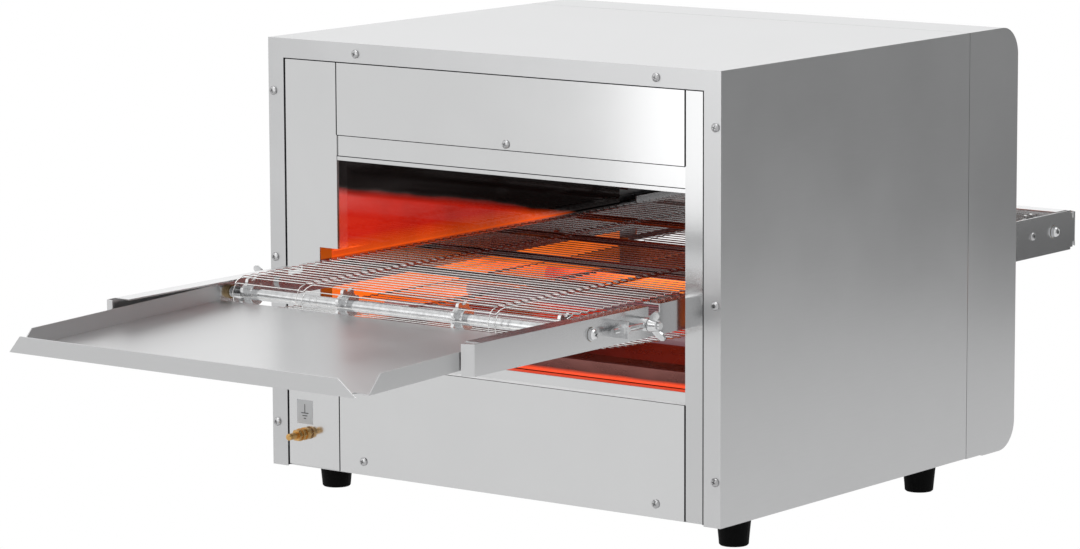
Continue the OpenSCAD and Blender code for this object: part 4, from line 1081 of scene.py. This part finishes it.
def stage_sheet(name: str, outline: tuple[Triple, ...], material: bpy.types.Material) -> bpy.types.Object:
    """Flat four-cornered sheet that belongs to the studio.

    Args:
        name: the sheet's name.
        outline: its four corners in metres.
        material: its finish.

    Returns:
        The object.
    """
    mesh = bpy.data.meshes.new(name)
    mesh.from_pydata(outline, [], [(0, 1, 2, 3)])
    mesh.materials.append(material)
    sheet = bpy.data.objects.new(name, mesh)
    bpy.context.collection.objects.link(sheet)
    return sheet


@dataclass(frozen=True)
class Lamp:
    """One soft rectangular lamp aimed at a point."""

    name: str
    place: Triple
    aim: Triple
    size: Pair
    watts: float
    colour: Colour = (1.0, 1.0, 1.0)
    upright: float = 0.95

    def build(self) -> None:
        """Makes the lamp, hides it from the camera and turns its face to the point."""
        data = bpy.data.lights.new(self.name, "AREA")
        data.shape, data.size, data.size_y = "RECTANGLE", self.size[0], self.size[1]
        data.energy, data.color = self.watts, self.colour
        lamp = bpy.data.objects.new(self.name, data)
        bpy.context.collection.objects.link(lamp)
        lamp.visible_camera = False
        back = np.array(self.place, float) - np.array(self.aim, float)
        back /= np.linalg.norm(back)
        leaning = abs(back[2]) < self.upright
        side = np.cross([0.0, 0.0, 1.0] if leaning else [0.0, 1.0, 0.0], back)
        side /= np.linalg.norm(side)
        lamp.matrix_world = standing_at(np.column_stack([side, np.cross(back, side), back]), self.place)


@dataclass(frozen=True)
class Card:
    """Flat card that only gloss sees, so that polished sheets get a darker side."""

    name: str
    outline: tuple[Triple, ...]
    level: float

    def build(self) -> None:
        """Makes the card and hides it from every ray but gloss."""
        g = Graph.material(self.name)
        felt = g.blend(g.noise(3.0), (0.95, 0.95, 0.95), (1.0, 1.0, 1.0))
        glow = g.node("ShaderNodeEmission", None, {"Color": felt, "Strength": self.level})
        card = stage_sheet(self.name, self.outline, g.close(glow))
        card.visible_camera = card.visible_diffuse = card.visible_shadow = card.visible_transmission = False


@dataclass
class Studio:
    """Camera, lamps, cards, pale floor and white surroundings."""

    eye: Triple = (2.4458, -3.2501, 0.8252)
    yaw: float = 37.303
    pitch: float = 8.665
    roll: float = -0.239
    lens: float = 155.83
    sensor: float = 36.0
    clip: Pair = (0.05, 60.0)
    floor_half: float = 14.0
    sky: Colour = (0.9, 0.95, 1.0)
    sky_level: float = 0.32
    lamps: tuple[Lamp, ...] = (
        Lamp("top_softbox", (0.0, 0.5, 3.0), (0, 0.1, 0.3), (3.2, 3.2), 52),
        Lamp("back_softbox", (-2.4, 3.2, 1.15), (0, 0, 0.6), (4.0, 2.0), 5),
        Lamp("front_softbox", (-0.45, -1.75, 0.6), (-0.45, 0, 0.6), (1.2, 1.2), 4.5),
        Lamp("left_softbox", (-2.6, -2.4, 1.5), (0, 0, 0.25), (2.4, 2.0), 5),
        Lamp("heat_low", (0.0095, 0.2, 0.172), (0.0095, 0.2, 0.0), (0.36, 0.12), 0.3, HEAT_RED),
        Lamp("heat_high", (0.0095, 0.09, 0.322), (0.0095, 0.09, 1.0), (0.36, 0.34), 0.4, HEAT_RED))
    cards: tuple[Card, ...] = (
        Card("side_card", ((1.0, 0.1, 0.0), (1.0, 3.2, 0.0), (1.0, 3.2, 2.0), (1.0, 0.1, 2.0)), 0.37),
        Card("rear_card", ((0.45, 1.15, 0.002), (1.5, 1.15, 0.002), (1.5, 2.6, 0.002), (0.45, 2.6, 0.002)),
             0.1))

    def camera(self) -> None:
        """Aims the camera.

        It looks along the level direction (-sin yaw, cos yaw) times cos pitch, less sin pitch upwards, and
        roll turns the other two axes round that direction.
        """
        yaw, pitch, roll = (math.radians(v) for v in (self.yaw, self.pitch, self.roll))
        right = np.array([math.cos(yaw), math.sin(yaw), 0.0])
        ahead = np.array([-math.sin(yaw), math.cos(yaw), 0.0])
        forward = ahead * math.cos(pitch) - np.array([0.0, 0.0, math.sin(pitch)])
        down = np.cross(forward, right)
        across = math.cos(roll) * right - math.sin(roll) * down
        under = math.sin(roll) * right + math.cos(roll) * down
        data = bpy.data.cameras.new("view_camera")
        data.sensor_fit, data.sensor_width, data.lens = "HORIZONTAL", self.sensor, self.lens
        data.clip_start, data.clip_end = self.clip
        eye = bpy.data.objects.new("view_camera", data)
        bpy.context.collection.objects.link(eye)
        eye.matrix_world = standing_at(np.column_stack([across, -under, -forward]), self.eye)
        bpy.context.scene.camera = eye

    def surroundings(self) -> None:
        """White for the camera, gloss and glass; a soft grey level for everything else."""
        bpy.context.scene.world = bpy.data.worlds.new("surroundings")
        g = Graph(bpy.context.scene.world)
        soft = g.node("ShaderNodeBackground", None, {"Color": (*self.sky, 1.0), "Strength": self.sky_level})
        white = g.node("ShaderNodeBackground", None, {"Color": (1.0, 1.0, 1.0, 1.0)})
        g.close(g.node("ShaderNodeMixShader", None, {0: g.seen(), 1: soft, 2: white}))

    def floor(self) -> None:
        """Wide pale floor that is white to the eye and keeps a soft shadow."""
        g = Graph.material("floor_white")
        cloth = g.blend(g.noise(40.0), (0.78, 0.78, 0.78), (0.8, 0.8, 0.8))
        lit = g.node("ShaderNodeBsdfDiffuse", None, {"Color": cloth})
        glow = g.node("ShaderNodeEmission", None, {"Color": (1.0, 1.0, 1.0, 1.0), "Strength": 1.0})
        material = g.close(g.node("ShaderNodeMixShader", None, {0: g.seen(), 1: lit, 2: glow}))
        h = self.floor_half
        stage_sheet("studio_floor", ((-h, -h, 0), (h, -h, 0), (h, h, 0), (-h, h, 0)), material)

    def build(self) -> None:
        """Sets the whole studio."""
        self.camera()
        self.surroundings()
        self.floor()
        for item in (*self.lamps, *self.cards):
            item.build()
        bpy.context.scene.view_settings.view_transform = "Standard"


def main() -> None:
    """Builds the classes in order."""
    logging.basicConfig(level=logging.INFO, format="%(name)s %(message)s")
    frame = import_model()
    palette = Palette()
    at = Placing()
    Studio().build()
    Dressing().build(frame["nodes"], palette)
    WireBelt().build(at, palette)
    Trim().build(at, palette)
    FasciaMarks().build(palette)


if __name__ == "__main__":
    main()
